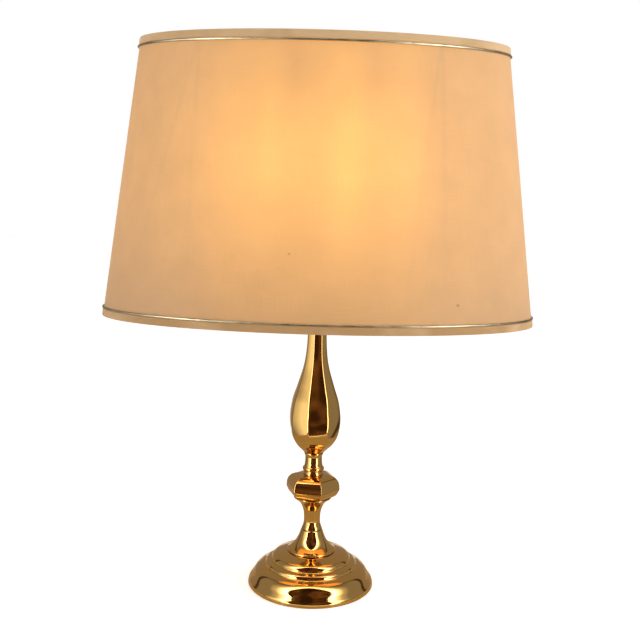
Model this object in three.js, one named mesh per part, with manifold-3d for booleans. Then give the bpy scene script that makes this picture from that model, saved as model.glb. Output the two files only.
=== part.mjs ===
// Two-light table lamp: a brass baluster stem on a round stepped foot, under an oval fabric shade.
// Millimetres, +Z up, standing on z = 0 with the stem on the Z axis. -Y is the front.

import * as THREE from "three";
import { mergeVertices } from "three/addons/utils/BufferGeometryUtils.js";
import Module from "manifold-3d";

const wasm = await Module();
wasm.setup();

// Clearances
const seatGap = 0.3; // between pieces that rest on or butt against each other
const rodClearance = 0.5; // round the threaded rod and the central stub, on the radius
const capClearance = 0.4; // between a bulb cap and its screw sleeve, on the radius

// Foot: spun brass over a cast-iron weight, closed by a felt disc
const footRadius = 67.7;
const footHeight = 37.3; // flat that carries the bell
const shoulderRadius = 57.2; // where the big bulge turns in
const shoulderHeight = 19;
const stepRadius = 48.6; // upright of the middle step
const stepHeight = 26.6;
const plateRadius = 38.4; // edge of the plate, which rises from there to the flat
const plateHeight = 33.9;
const footWall = 1.6;
const feltThickness = 1.5;
const weightThickness = 5.2; // rim of the weight
const weightLift = 10; // height of its underside, which leaves the way in for the cord
const weightClearance = 1; // between the weight and the shell, on the radius
const notchWidth = 9;
const notchHeight = 9;
const notchDepth = 27; // how far the cut reaches in and out through the wall
const grommetWall = 1;
const grommetLength = 7.5;
const grommetRecess = 1.6; // behind the foot's widest edge

// Clamp under the foot and the threaded rod that holds the stem together
const rodRadius = 5;
const rodBore = 3.4;
const washerRadius = 12;
const washerThickness = 1.5;
const nutAcrossFlats = 17;
const nutThickness = 5;
const rodTail = 0.6; // thread that stands out under the nut

// Stem, from the bell up: heights of the pieces and their widest radii
const bellHeight = 23.4;
const bellRadius = 26;
const seamRadius = 11.6; // where bell and lower stem meet
const lowerStemHeight = 36.7;
const lowerWaistRadius = 8.75;
const cupRadius = 20.6;
const knopHeight = 24.4;
const knopRadius = 29.4; // over the corners
const knopRimHeight = 8.3; // from the underside to the widest edge
const knopTurn = 18; // degrees from the front to the nearest corner
const neckHeight = 23.3;
const neckRadius = 9.05;
const beadRadius = 11.6;
const balusterHeight = 159.4;
const balusterRadius = 28.4; // over the corners
const balusterTopRadius = 10.4;
const balusterTurn = -13.6; // degrees from the front to the nearest corner
const stemCapHeight = 15.7;
const stemCapRadius = 14.5;

// Two-light cluster
const clusterHeight = 29;
const clusterRadius = 15.5;
const lightSpread = 46; // from the axis to each bulb
const armTubeRadius = 5;
const armBend = 15;
const armRise = 26; // from the arm's level to its top end
const armThread = 8.5; // top end of the arm that the nut and the holder take
const rodJoint = 4; // below the middle of the body, where the rod ends and the stub starts
const armNutAcrossFlats = 15;
const armNutThickness = 3.2;
const holderCapHeight = 19;
const holderRadius = 19;
const holderCapRadius = holderRadius - 0.4;
const holderWall = 1.8;
const holderShellHeight = 37.5;
const insulatorRadius = holderCapRadius - holderWall - seatGap;
const insulatorThickness = 13.7;
const insulatorDrop = 6; // how far it reaches down into the cap
const sleeveLength = 25;
const sleeveWall = 0.6;
const tongueRadius = 3.2;
const tongueHeight = 2.8;

// Bulbs: 55 mm opal glass on a 26.4 mm screw cap
const bulbCapRadius = 13.2;
const bulbCapHeight = 23.7;
const bulbTipHeight = 2.4;
const bulbRadius = 27.5;
const bulbNeckRadius = 12.6;
const bulbGlassHeight = 71.3;
const bulbWall = 0.9;

// Central stub that carries the shade
const stubRadius = 5;
const stubIntoFinial = 10.9; // how far the stub reaches into the thumb nut
const stubNutAcrossFlats = 16;
const stubNutThickness = 4.6;
const seatRadius = 14;
const seatThickness = 2;
const hubRadius = 13.5;
const hubThickness = 2;
const finialRadius = 9;
const finialHeight = 18;

// Oval shade
const shadeBottom = 290;
const shadeTop = 570;
const shadeBottomWidth = 448;
const shadeBottomDepth = 210;
const shadeTopWidth = 370;
const shadeTopDepth = 174;
const coverThickness = 1;
const hoopWireRadius = 1.75;
const hoopClearance = 0.65; // between a hoop and the cover's inside
const armWireRadius = 2;
const carrierTopAngle = 39; // degrees round the top hoop from the front, to each side
const armElbowOut = 28; // where a carrier arm turns past the holders, to the side of the axis
const armElbowFront = 36; // and in front of it or behind it
const armKneeOut = 77; // where it turns up beside the bulb
const armKneeFront = 58;
const armWireBend = 9;
const tapeThickness = 0.65;
const tapeWidth = 7.6;
const trimCordRadius = 1.15;

// Colours
const brassColour = 0xc79a4b;
const ironColour = 0x3c3a38;
const steelColour = 0xb4b6b8;
const feltColour = 0x2f4a36;
const blackPlasticColour = 0x1b1a19;
const porcelainColour = 0xe9e4da;
const opalColour = 0xf6eedd;
const fabricColour = 0xe9cda3;
const tapeColour = 0xd0a878;
const trimColour = 0xb9a57c;

// Segments round a turned piece, by how large it is
const largeTurn = 32;
const mediumTurn = 24;
const smallTurn = 16;
const ovalSteps = 44;

const lamp = new THREE.Group();
const materials = {
  brass: [brassColour, 0.12, 1],
  iron: [ironColour, 0.8, 0.6],
  steel: [steelColour, 0.35, 1],
  felt: [feltColour, 0.95, 0],
  black_plastic: [blackPlasticColour, 0.4, 0],
  porcelain: [porcelainColour, 0.3, 0],
  opal_glass: [opalColour, 0.25, 0],
  fabric: [fabricColour, 0.9, 0],
  tape: [tapeColour, 0.9, 0],
  metal_braid: [trimColour, 0.35, 0.8],
};

function piece(name, geometry, finish, parent = lamp) {
  const [color, roughness, metalness] = materials[finish];
  const mesh = new THREE.Mesh(geometry, new THREE.MeshStandardMaterial({ color, roughness, metalness }));
  mesh.name = name;
  parent.add(mesh);
  return mesh;
}

// A smooth outline through a few [radius, height] points
function smooth(points, divisions) {
  const curve = new THREE.SplineCurve(points.map(([r, z]) => new THREE.Vector2(r, z)));
  return curve.getPoints(divisions).map((p) => [p.x, p.y]);
}

function signedArea(points) {
  return points.reduce((sum, [r, z], i) => {
    const [nextR, nextZ] = points[(i + 1) % points.length];
    return sum + (r * nextZ - nextR * z) / 2;
  }, 0);
}

// A turned solid from an outline of [radius, height] points, which closes on itself or on the axis
function turned(outline, segments = mediumTurn, turnDegrees = 0) {
  const points = signedArea(outline) < 0 ? [...outline].reverse() : outline;
  const onAxis = points[0][0] === 0 && points.at(-1)[0] === 0;
  const profile = (onAxis ? points : [...points, points[0]]).map(([r, z]) => new THREE.Vector2(r, z));
  const start = THREE.MathUtils.degToRad(turnDegrees);
  return new THREE.LatheGeometry(profile, segments, start).rotateX(Math.PI / 2);
}

// A turned solid with a straight bore: the outline runs up the outside
function turnedRoundBore(outside, bore, segments, turnDegrees) {
  const bottom = outside[0][1];
  const top = outside.at(-1)[1];
  return turned([[bore, bottom], ...outside, [bore, top]], segments, turnDegrees);
}

function hexNut(acrossFlats, bore, bottom, thickness) {
  const corner = acrossFlats / 2 / Math.cos(Math.PI / 6);
  const shape = new THREE.Shape();
  for (let i = 0; i < 6; i += 1) {
    const angle = (i * Math.PI) / 3;
    shape[i === 0 ? "moveTo" : "lineTo"](corner * Math.cos(angle), corner * Math.sin(angle));
  }
  shape.closePath();
  const hole = new THREE.Path();
  hole.absarc(0, 0, bore, 0, 2 * Math.PI, true);
  shape.holes.push(hole);
  const settings = { depth: thickness, bevelEnabled: false, curveSegments: 16 };
  return new THREE.ExtrudeGeometry(shape, settings).translate(0, 0, bottom);
}

function wire(path, radius, steps, sides) {
  const section = new THREE.Shape();
  for (let i = 0; i < sides; i += 1) {
    const angle = (2 * Math.PI * i) / sides;
    section[i === 0 ? "moveTo" : "lineTo"](radius * Math.cos(angle), radius * Math.sin(angle));
  }
  section.closePath();
  return new THREE.ExtrudeGeometry(section, { steps, bevelEnabled: false, extrudePath: path });
}

// A polyline with a rounded corner at each inner point
function bentPath(points, bend) {
  const path = new THREE.CurvePath();
  let from = points[0];
  for (let i = 1; i < points.length - 1; i += 1) {
    const before = from.clone().sub(points[i]).setLength(bend).add(points[i]);
    const after = points[i + 1].clone().sub(points[i]).setLength(bend).add(points[i]);
    path.add(new THREE.LineCurve3(from, before));
    path.add(new THREE.QuadraticBezierCurve3(before, points[i], after));
    from = after;
  }
  path.add(new THREE.LineCurve3(from, points.at(-1)));
  return path;
}

// Moves an outline into the wall by its thickness
function inset(outline, wall) {
  return outline.map(([r, z], i) => {
    const [fromR, fromZ] = outline[Math.max(i - 1, 0)];
    const [toR, toZ] = outline[Math.min(i + 1, outline.length - 1)];
    const length = Math.hypot(toR - fromR, toZ - fromZ);
    return [r - (wall * (toZ - fromZ)) / length, z + (wall * (toR - fromR)) / length];
  });
}

function toManifold(geometry) {
  const bare = geometry.clone();
  bare.deleteAttribute("normal");
  bare.deleteAttribute("uv");
  const merged = mergeVertices(bare, 1e-4);
  return new wasm.Manifold(
    new wasm.Mesh({
      numProp: 3,
      vertProperties: merged.attributes.position.array,
      triVerts: new Uint32Array(merged.index.array),
    }),
  );
}

function fromManifold(solid) {
  const mesh = solid.getMesh();
  const geometry = new THREE.BufferGeometry();
  geometry.setAttribute("position", new THREE.BufferAttribute(mesh.vertProperties, 3));
  geometry.setIndex(new THREE.BufferAttribute(mesh.triVerts, 1));
  geometry.computeVertexNormals();
  return geometry;
}

const rodHole = rodRadius + rodClearance;
const stubHole = stubRadius + rodClearance;

// Heights at which the stacked pieces start
const bellBase = footHeight + seatGap;
const lowerStemBase = bellBase + bellHeight + seatGap;
const knopBase = lowerStemBase + lowerStemHeight + seatGap;
const neckBase = knopBase + knopHeight + seatGap;
const balusterBase = neckBase + neckHeight + seatGap;
const stemCapBase = balusterBase + balusterHeight + seatGap;
const clusterBase = stemCapBase + stemCapHeight + seatGap;
const clusterMiddle = clusterBase + clusterHeight / 2;
const armLevel = clusterMiddle + 1;
const armTop = armLevel + armRise;
const armNutBase = armTop - armThread;
const holderBase = armNutBase + armNutThickness + seatGap;
const holderShellBase = holderBase + holderCapHeight + seatGap;
const insulatorBase = holderShellBase - insulatorDrop;
const sleeveBase = insulatorBase + insulatorThickness + seatGap;
const bulbBase = sleeveBase + tongueHeight + seatGap;
const bulbCapBase = bulbBase + bulbTipHeight + seatGap;
const bulbGlassBase = bulbCapBase + bulbCapHeight + seatGap;

// Foot, from the table edge in over the bulge, the middle step and the bead to the plate
function footOutline() {
  const bulge = smooth(
    [
      [footRadius, 1.2],
      [footRadius - 0.2, 3.2],
      [footRadius - 0.9, 5.4],
      [footRadius - 2.7, 8],
      [footRadius - 4.8, 11],
      [shoulderRadius + 2.9, shoulderHeight - 3.2],
      [shoulderRadius, shoulderHeight],
      [shoulderRadius - 2.8, shoulderHeight + 1.6],
    ],
    7,
  );
  const step = [
    [stepRadius + 1.6, shoulderHeight + 2.5],
    [stepRadius + 0.3, shoulderHeight + 3.4],
    [stepRadius - 0.3, stepHeight - 2],
    [stepRadius - 1.3, stepHeight - 0.6],
    [stepRadius - 3, stepHeight],
  ];
  const bead = smooth(
    [
      [plateRadius + 5.2, stepHeight + 0.6],
      [plateRadius + 4, plateHeight - 5.9],
      [plateRadius + 3.5, plateHeight - 3.9],
      [plateRadius + 2.2, plateHeight - 1.7],
      [plateRadius, plateHeight],
    ],
    4,
  );
  const middle = (plateRadius + bellRadius) / 2;
  const rise = [[middle, plateHeight + 0.6 * (footHeight - plateHeight)], [bellRadius + 0.4, footHeight]];
  return [[footRadius - 1.2, 0], ...bulge, ...step, ...bead, ...rise];
}

function makeFoot() {
  const outside = footOutline();
  const inside = inset(outside, footWall).filter((_, i) => i % 2 === 0);
  inside[0] = [outside[0][0] - footWall, 0];
  inside.push([bellRadius - footWall, footHeight - footWall]);
  const top = [
    [rodHole, footHeight],
    [rodHole, footHeight - footWall],
  ];
  const shell = turned([...outside, ...top, ...inside.reverse()], largeTurn);

  const notch = new THREE.BoxGeometry(notchWidth, notchDepth, 2 * notchHeight);
  notch.translate(0, footRadius, 0);
  piece("foot_shell", fromManifold(toManifold(shell).subtract(toManifold(notch))), "brass");

  const rimRadius = shoulderRadius - footWall - weightClearance - 2.4;
  const stepInside = stepRadius - footWall - weightClearance;
  const beadInside = plateRadius - footWall - weightClearance;
  const weightTop = footHeight - footWall - seatGap;
  const weight = turnedRoundBore(
    [
      [rimRadius, weightLift],
      [rimRadius, weightLift + weightThickness],
      [stepInside, weightLift + weightThickness + 1],
      [stepInside, stepHeight - footWall - weightClearance - 0.6],
      [beadInside, stepHeight - footWall - weightClearance],
      [beadInside, plateHeight - footWall - weightClearance],
      [bellRadius - 4, weightTop],
    ],
    rodHole,
  );
  piece("foot_weight", weight, "iron");

  const feltRadius = outside[0][0] - footWall - seatGap;
  const felt = [[0, 0], [feltRadius, 0], [feltRadius, feltThickness], [0, feltThickness]];
  piece("felt_pad", turned(felt, largeTurn), "felt");

  piece("cord_grommet", makeGrommet(), "black_plastic");
}

// The cord's way in: a plastic arch that lines the notch at the back of the foot
function makeGrommet() {
  const outer = notchWidth / 2 - seatGap;
  const inner = outer - grommetWall;
  const foot = feltThickness + seatGap;
  const rise = notchHeight - seatGap;
  const arch = new THREE.Shape();
  arch.moveTo(outer, foot);
  arch.lineTo(outer, rise - 1);
  arch.lineTo(outer - 1, rise);
  arch.lineTo(1 - outer, rise);
  arch.lineTo(-outer, rise - 1);
  arch.lineTo(-outer, foot);
  arch.lineTo(-inner, foot);
  arch.lineTo(-inner, rise - grommetWall);
  arch.lineTo(inner, rise - grommetWall);
  arch.lineTo(inner, foot);
  arch.closePath();
  const solid = new THREE.ExtrudeGeometry(arch, { depth: grommetLength, bevelEnabled: false });
  return solid.rotateX(Math.PI / 2).translate(0, footRadius - grommetRecess, 0);
}

function makeClamp() {
  const washerTop = weightLift - seatGap;
  const washerBase = washerTop - washerThickness;
  const washer = turnedRoundBore(
    [
      [washerRadius, washerBase],
      [washerRadius, washerTop],
    ],
    rodHole,
    smallTurn,
  );
  piece("clamp_washer", washer, "steel");

  const nutBase = washerBase - seatGap - nutThickness;
  piece("clamp_nut", hexNut(nutAcrossFlats, rodHole, nutBase, nutThickness), "steel");

  const rodBottom = nutBase - rodTail;
  const rodTop = clusterMiddle - rodJoint;
  const rod = turnedRoundBore(
    [
      [rodRadius, rodBottom],
      [rodRadius, rodTop],
    ],
    rodBore,
    16,
  );
  piece("threaded_rod", rod, "steel");
}

function makeBell() {
  const top = bellBase + bellHeight;
  const flare = smooth(
    [
      [bellRadius - 0.4, bellBase + 2.1],
      [bellRadius - 3.1, bellBase + 3.9],
      [bellRadius - 6.8, bellBase + 7.2],
      [seamRadius + 4.8, bellBase + 10.9],
      [seamRadius + 2.5, top - 7.8],
      [seamRadius + 1.1, top - 4],
      [seamRadius, top - 0.9],
    ],
    9,
  );
  const outside = [
    [bellRadius - 0.6, bellBase],
    [bellRadius, bellBase + 0.7],
    [bellRadius, bellBase + 1.5],
    ...flare,
    [seamRadius - 0.3, top],
  ];
  piece("bell", turnedRoundBore(outside, rodHole), "brass");
}

function makeLowerStem() {
  const top = lowerStemBase + lowerStemHeight;
  const waist = smooth(
    [
      [seamRadius - 0.4, lowerStemBase],
      [lowerWaistRadius + 0.8, lowerStemBase + 4.7],
      [lowerWaistRadius, lowerStemBase + 9.8],
      [lowerWaistRadius + 0.7, top - 16.8],
      [lowerWaistRadius + 3.7, top - 8.8],
      [cupRadius - 4.6, top - 4.6],
      [cupRadius - 0.4, top - 1.6],
    ],
    12,
  );
  const outside = [...waist, [cupRadius, top - 0.6], [cupRadius - 0.8, top]];
  piece("lower_stem", turnedRoundBore(outside, rodHole), "brass");
}

// The hexagonal knop: a tapered underside, a thin upright rim and six domed faces
function makeKnop() {
  const rim = knopBase + knopRimHeight;
  const top = knopBase + knopHeight;
  const dome = smooth(
    [
      [knopRadius, rim + 1.7],
      [knopRadius - 0.4, rim + 5.8],
      [knopRadius - 2, rim + 10],
      [knopRadius - 5.8, rim + 13.6],
      [beadRadius + 5.9, top - 0.5],
      [beadRadius + 1.4, top],
    ],
    9,
  );
  const underside = [
    [cupRadius + 1.9, knopBase],
    [knopRadius - 4.7, knopBase + 1.3],
    [knopRadius - 2.2, knopBase + 4],
    [knopRadius - 0.5, rim - 0.7],
    [knopRadius, rim],
  ];
  const outside = [...underside, ...dome];
  const hole = rodHole / Math.cos(Math.PI / 6);
  piece("knop", turnedRoundBore(outside, hole, 6, knopTurn), "brass");
}

function makeNeck() {
  const outside = [
    [beadRadius - 0.6, neckBase],
    [beadRadius - 1.3, neckBase + 1.2],
    [beadRadius - 1.3, neckBase + 2.6],
    [beadRadius - 1.5, neckBase + 3.4],
    [beadRadius - 0.4, neckBase + 4.4],
    [beadRadius, neckBase + 5.8],
    [beadRadius - 0.4, neckBase + 7.2],
    [neckRadius + 1.1, neckBase + 8.9],
    [neckRadius + 0.3, neckBase + 11.6],
    [neckRadius, neckBase + 15.4],
    [neckRadius, neckBase + 18.6],
    [neckRadius + 0.5, neckBase + 21],
    [neckRadius + 1.2, neckBase + 22.1],
    [neckRadius + 1.2, neckBase + neckHeight],
  ];
  piece("neck", turnedRoundBore(outside, rodHole, smallTurn), "brass");
}

// The octagonal baluster, widest a quarter of the way up
function makeBaluster() {
  const base = balusterBase;
  const outside = smooth(
    [
      [neckRadius + 1.6, base],
      [balusterRadius - 14.6, base + balusterHeight * 0.02],
      [balusterRadius - 7.9, base + balusterHeight * 0.061],
      [balusterRadius - 2.6, base + balusterHeight * 0.122],
      [balusterRadius, base + balusterHeight * 0.226],
      [balusterRadius - 2.4, base + balusterHeight * 0.348],
      [balusterRadius - 8.2, base + balusterHeight * 0.46],
      [balusterTopRadius + 3.7, base + balusterHeight * 0.586],
      [balusterTopRadius + 1, base + balusterHeight * 0.696],
      [balusterTopRadius, base + balusterHeight * 0.828],
      [balusterTopRadius, base + balusterHeight],
    ],
    22,
  );
  const hole = rodHole / Math.cos(Math.PI / 8);
  piece("baluster", turnedRoundBore(outside, hole, 8, balusterTurn), "brass");
}

function makeStemCap() {
  const top = stemCapBase + stemCapHeight;
  const outside = [
    [balusterTopRadius + 1.6, stemCapBase],
    [balusterTopRadius + 2.2, stemCapBase + 1.2],
    [balusterTopRadius + 1.6, stemCapBase + 2.4],
    [balusterTopRadius - 0.4, stemCapBase + 4.6],
    [balusterTopRadius + 1, stemCapBase + 9],
    [stemCapRadius, top - 2.6],
    [stemCapRadius, top],
  ];
  piece("stem_cap", turnedRoundBore(outside, rodHole, smallTurn), "brass");
}

// Cluster body with two bent tubes that carry the bulb holders
function makeCluster() {
  const top = clusterBase + clusterHeight;
  const outside = [
    [clusterRadius - 4.5, clusterBase],
    ...smooth(
      [
        [clusterRadius - 3, clusterBase + 2],
        [clusterRadius, armLevel],
        [clusterRadius - 3.5, top - 3],
      ],
      6,
    ),
    [clusterRadius - 5.5, top],
  ];
  piece("cluster_body", turnedRoundBore(outside, rodHole, smallTurn), "brass");

  for (const [side, name] of [[-1, "left"], [1, "right"]]) {
    const path = bentPath(
      [
        new THREE.Vector3(side * (clusterRadius + seatGap), 0, armLevel),
        new THREE.Vector3(side * lightSpread, 0, armLevel),
        new THREE.Vector3(side * lightSpread, 0, armTop),
      ],
      armBend,
    );
    piece(`cluster_arm_${name}`, wire(path, armTubeRadius, 12, 10), "brass");
  }
}

// One bulb holder: lock nut, brass cap, plastic shell, porcelain, screw sleeve and centre contact
function makeHolder(side, name) {
  const holder = new THREE.Group();
  holder.position.x = side * lightSpread;
  lamp.add(holder);
  const add = (part, geometry, finish) => piece(`${part}_${name}`, geometry, finish, holder);

  const tubeHole = armTubeRadius + seatGap;
  add("arm_nut", hexNut(armNutAcrossFlats, tubeHole, armNutBase, armNutThickness), "brass");

  const capTop = holderBase + holderCapHeight;
  const capOutside = [
    [tubeHole + 2.4, holderBase],
    [holderRadius - 7, holderBase + 3],
    [holderRadius - 2.4, holderBase + 9],
    [holderCapRadius, holderBase + 14],
    [holderCapRadius, capTop],
  ];
  const capInside = [
    [holderCapRadius - holderWall, capTop],
    [holderCapRadius - holderWall, holderBase + 13],
    [holderRadius - 8, holderBase + 5.4],
    [tubeHole, holderBase + 2],
  ];
  add("holder_cap", turned([[tubeHole, holderBase], ...capOutside, ...capInside], smallTurn), "brass");

  const shellTop = holderShellBase + holderShellHeight;
  const sleeveInside = bulbCapRadius + capClearance;
  const sleeveOutside = sleeveInside + sleeveWall;
  const shell = [
    [holderRadius - holderWall, holderShellBase],
    [holderRadius, holderShellBase],
    [holderRadius, holderShellBase + 6],
    [holderRadius - 0.8, holderShellBase + 7],
    [holderRadius - 0.8, shellTop - 4],
    [holderRadius, shellTop - 3],
    [holderRadius, shellTop],
    [sleeveInside + 1, shellTop],
    [sleeveInside + 1, shellTop - 1.5],
    [holderRadius - 0.8 - holderWall, shellTop - 3],
  ];
  add("holder_shell", turned(shell, smallTurn), "black_plastic");

  const insulatorTop = insulatorBase + insulatorThickness;
  const insulator = [
    [0, insulatorBase],
    [insulatorRadius - 1, insulatorBase],
    [insulatorRadius, insulatorBase + 1.5],
    [insulatorRadius, insulatorTop],
    [0, insulatorTop],
  ];
  add("holder_insulator", turned(insulator, smallTurn), "porcelain");

  const sleeve = turnedRoundBore(
    [
      [sleeveOutside, sleeveBase],
      [sleeveOutside, sleeveBase + sleeveLength],
    ],
    sleeveInside,
    smallTurn,
  );
  add("screw_sleeve", sleeve, "brass");

  const tongue = [
    [0, sleeveBase],
    [tongueRadius + 1, sleeveBase],
    [tongueRadius, sleeveBase + tongueHeight],
    [0, sleeveBase + tongueHeight],
  ];
  add("centre_contact", turned(tongue, 12), "brass");
}

// One bulb: end contact, screw cap and opal glass, which is open into the cap at its neck
function makeBulb(side, name) {
  const bulb = new THREE.Group();
  bulb.position.x = side * lightSpread;
  lamp.add(bulb);
  const add = (part, geometry, finish) => piece(`${part}_${name}`, geometry, finish, bulb);

  const tip = [
    [0, bulbBase],
    [3, bulbBase],
    [bulbCapRadius - 5, bulbBase + bulbTipHeight],
    [0, bulbBase + bulbTipHeight],
  ];
  add("bulb_tip", turned(tip, 12), "black_plastic");

  const capTop = bulbCapBase + bulbCapHeight;
  const cap = [
    [0, bulbCapBase],
    [bulbCapRadius - 4.4, bulbCapBase],
    [bulbCapRadius, bulbCapBase + 4.4],
    [bulbCapRadius, capTop - 3],
    [bulbNeckRadius + 0.3, capTop],
    [0, capTop],
  ];
  add("bulb_cap", turned(cap, smallTurn), "steel");

  const top = bulbGlassBase + bulbGlassHeight;
  const middle = top - bulbRadius;
  const outside = smooth(
    [
      [bulbNeckRadius, bulbGlassBase],
      [bulbNeckRadius + 1.6, bulbGlassBase + 9],
      [bulbRadius - 4.4, middle - 17],
      [bulbRadius, middle],
    ],
    6,
  );
  for (const angle of [22.5, 45, 67.5]) {
    const turn = THREE.MathUtils.degToRad(angle);
    outside.push([bulbRadius * Math.cos(turn), middle + bulbRadius * Math.sin(turn)]);
  }
  outside.push([0, top]);
  const inside = inset(outside, bulbWall);
  inside[0] = [bulbNeckRadius - bulbWall, bulbGlassBase];
  inside[inside.length - 1] = [0, top - bulbWall];
  add("bulb_glass", turned([...inside.reverse(), ...outside], smallTurn), "opal_glass");
}

// The stub, its lock nut and the loose seat washer on which the shade's hub lies
const stubNutBase = clusterBase + clusterHeight + seatGap;
const seatBase = stubNutBase + stubNutThickness + seatGap;
const hubBase = seatBase + seatThickness + seatGap;
const finialBase = hubBase + hubThickness + seatGap;
const stubTop = finialBase + stubIntoFinial;

function makeStub() {
  const stubBase = clusterMiddle - rodJoint + seatGap;
  const stub = turnedRoundBore(
    [
      [stubRadius, stubBase],
      [stubRadius, stubTop],
    ],
    rodBore,
    16,
  );
  piece("shade_stub", stub, "steel");
  piece("stub_nut", hexNut(stubNutAcrossFlats, stubHole, stubNutBase, stubNutThickness), "brass");

  const seat = turnedRoundBore(
    [
      [seatRadius, seatBase],
      [seatRadius, seatBase + seatThickness],
    ],
    stubHole,
    smallTurn,
  );
  piece("shade_seat", seat, "brass");
}

// The thumb nut that holds the hub down: a knurled collar under a small ball
function makeFinial() {
  const ball = smooth(
    [
      [finialRadius - 5, finialBase + 8.4],
      [finialRadius - 2.6, finialBase + 11],
      [finialRadius - 2.6, finialBase + 14.2],
      [0, finialBase + finialHeight],
    ],
    6,
  );
  ball[ball.length - 1][0] = 0;
  const roof = stubTop + seatGap;
  const outline = [
    [0, roof],
    [stubHole, roof],
    [stubHole, finialBase],
    [finialRadius - 0.8, finialBase],
    [finialRadius, finialBase + 0.8],
    [finialRadius, finialBase + 5.2],
    [finialRadius - 0.8, finialBase + 6],
    [finialRadius - 2, finialBase + 7],
    ...ball,
  ];
  piece("finial", turned(outline, smallTurn), "brass");
}

// Half-width and half-depth of the cover's outside at a height, moved out by an offset
function shadeOval(height, offset) {
  const t = (height - shadeBottom) / (shadeTop - shadeBottom);
  return [
    THREE.MathUtils.lerp(shadeBottomWidth, shadeTopWidth, t) / 2 + offset,
    THREE.MathUtils.lerp(shadeBottomDepth, shadeTopDepth, t) / 2 + offset,
  ];
}

// A closed section of [offset, height] points carried round the oval
function ovalSolid(section) {
  const points = signedArea(section) < 0 ? [...section].reverse() : section;
  const positions = [];
  const index = [];
  for (let i = 0; i < ovalSteps; i += 1) {
    const angle = (2 * Math.PI * i) / ovalSteps;
    for (const [offset, height] of points) {
      const [a, b] = shadeOval(height, offset);
      positions.push(a * Math.cos(angle), b * Math.sin(angle), height);
    }
  }
  const count = points.length;
  for (let i = 0; i < ovalSteps; i += 1) {
    const next = (i + 1) % ovalSteps;
    for (let j = 0; j < count; j += 1) {
      const above = (j + 1) % count;
      const corners = [i * count + j, next * count + j, next * count + above, i * count + above];
      index.push(corners[0], corners[1], corners[2], corners[0], corners[2], corners[3]);
    }
  }
  const geometry = new THREE.BufferGeometry();
  geometry.setAttribute("position", new THREE.Float32BufferAttribute(positions, 3));
  geometry.setIndex(index);
  geometry.computeVertexNormals();
  return geometry;
}

function roundSection(offset, height, radius, sides) {
  return Array.from({ length: sides }, (_, i) => {
    const angle = (2 * Math.PI * i) / sides;
    return [offset + radius * Math.cos(angle), height + radius * Math.sin(angle)];
  });
}

const coverEdge = tapeThickness + seatGap; // how far the cover's edges stay inside the tape
const hoopOffset = -(coverThickness + hoopClearance + hoopWireRadius);
const hoopTop = shadeTop - coverEdge - hoopWireRadius;
const hoopBottom = shadeBottom + coverEdge + hoopWireRadius;

function makeShadeFrame() {
  const hub = turnedRoundBore(
    [
      [hubRadius, hubBase],
      [hubRadius, hubBase + hubThickness],
    ],
    stubHole,
    smallTurn,
  );
  piece("carrier_hub", hub, "steel");

  const level = hubBase + hubThickness / 2;
  const top = hoopTop - hoopWireRadius - seatGap - 0.5;
  const [a, b] = shadeOval(hoopTop, hoopOffset);
  const angle = THREE.MathUtils.degToRad(carrierTopAngle);
  const corners = [[-1, -1, "front_left"], [1, -1, "front_right"], [-1, 1, "back_left"], [1, 1, "back_right"]];
  for (const [x, y, name] of corners) {
    const out = new THREE.Vector3(x * armElbowOut, y * armElbowFront, 0);
    const start = out.clone().setLength(hubRadius + armWireRadius * 0.2 + seatGap);
    const points = [
      start.setZ(level),
      out.setZ(level),
      new THREE.Vector3(x * armKneeOut, y * armKneeFront, level + 1),
      new THREE.Vector3(x * a * Math.sin(angle), y * b * Math.cos(angle), top),
    ];
    piece(`carrier_arm_${name}`, wire(bentPath(points, armWireBend), armWireRadius, 12, 6), "steel");
  }

  piece("hoop_top", ovalSolid(roundSection(hoopOffset, hoopTop, hoopWireRadius, 6)), "steel");
  piece("hoop_bottom", ovalSolid(roundSection(hoopOffset, hoopBottom, hoopWireRadius, 6)), "steel");
}

// The fabric on its stiff backing, the tape bound over each edge and the metallic cord beside it
function makeShadeCover() {
  const low = shadeBottom + coverEdge;
  const high = shadeTop - coverEdge;
  const cover = [[0, low], [0, high], [-coverThickness, high], [-coverThickness, low]];
  piece("shade_cover", ovalSolid(cover), "fabric");

  const out = seatGap + tapeThickness;
  const lip = hoopOffset - hoopWireRadius - 0.6;
  for (const [edge, inward, name] of [[shadeTop, -1, "top"], [shadeBottom, 1, "bottom"]]) {
    const tape = [
      [out, edge],
      [out, edge + inward * tapeWidth],
      [seatGap, edge + inward * tapeWidth],
      [seatGap, edge + inward * tapeThickness],
      [lip, edge + inward * tapeThickness],
      [lip, edge],
    ];
    piece(`edge_tape_${name}`, ovalSolid(tape), "tape");

    const cordHeight = edge + inward * (tapeWidth + seatGap + trimCordRadius);
    const cord = roundSection(seatGap + trimCordRadius, cordHeight, trimCordRadius, 5);
    piece(`trim_cord_${name}`, ovalSolid(cord), "metal_braid");
  }
}

makeFoot();
makeClamp();
makeBell();
makeLowerStem();
makeKnop();
makeNeck();
makeBaluster();
makeStemCap();
makeCluster();
for (const [side, name] of [[-1, "left"], [1, "right"]]) {
  makeHolder(side, name);
  makeBulb(side, name);
}
makeStub();
makeShadeFrame();
makeFinial();
makeShadeCover();

export default lamp;
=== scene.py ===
"""Looks of a two-light table lamp: polished brass baluster stem, oval fabric shade, lit."""

import math

import bmesh
import bpy
import numpy as np
from mathutils import Matrix, Vector


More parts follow.
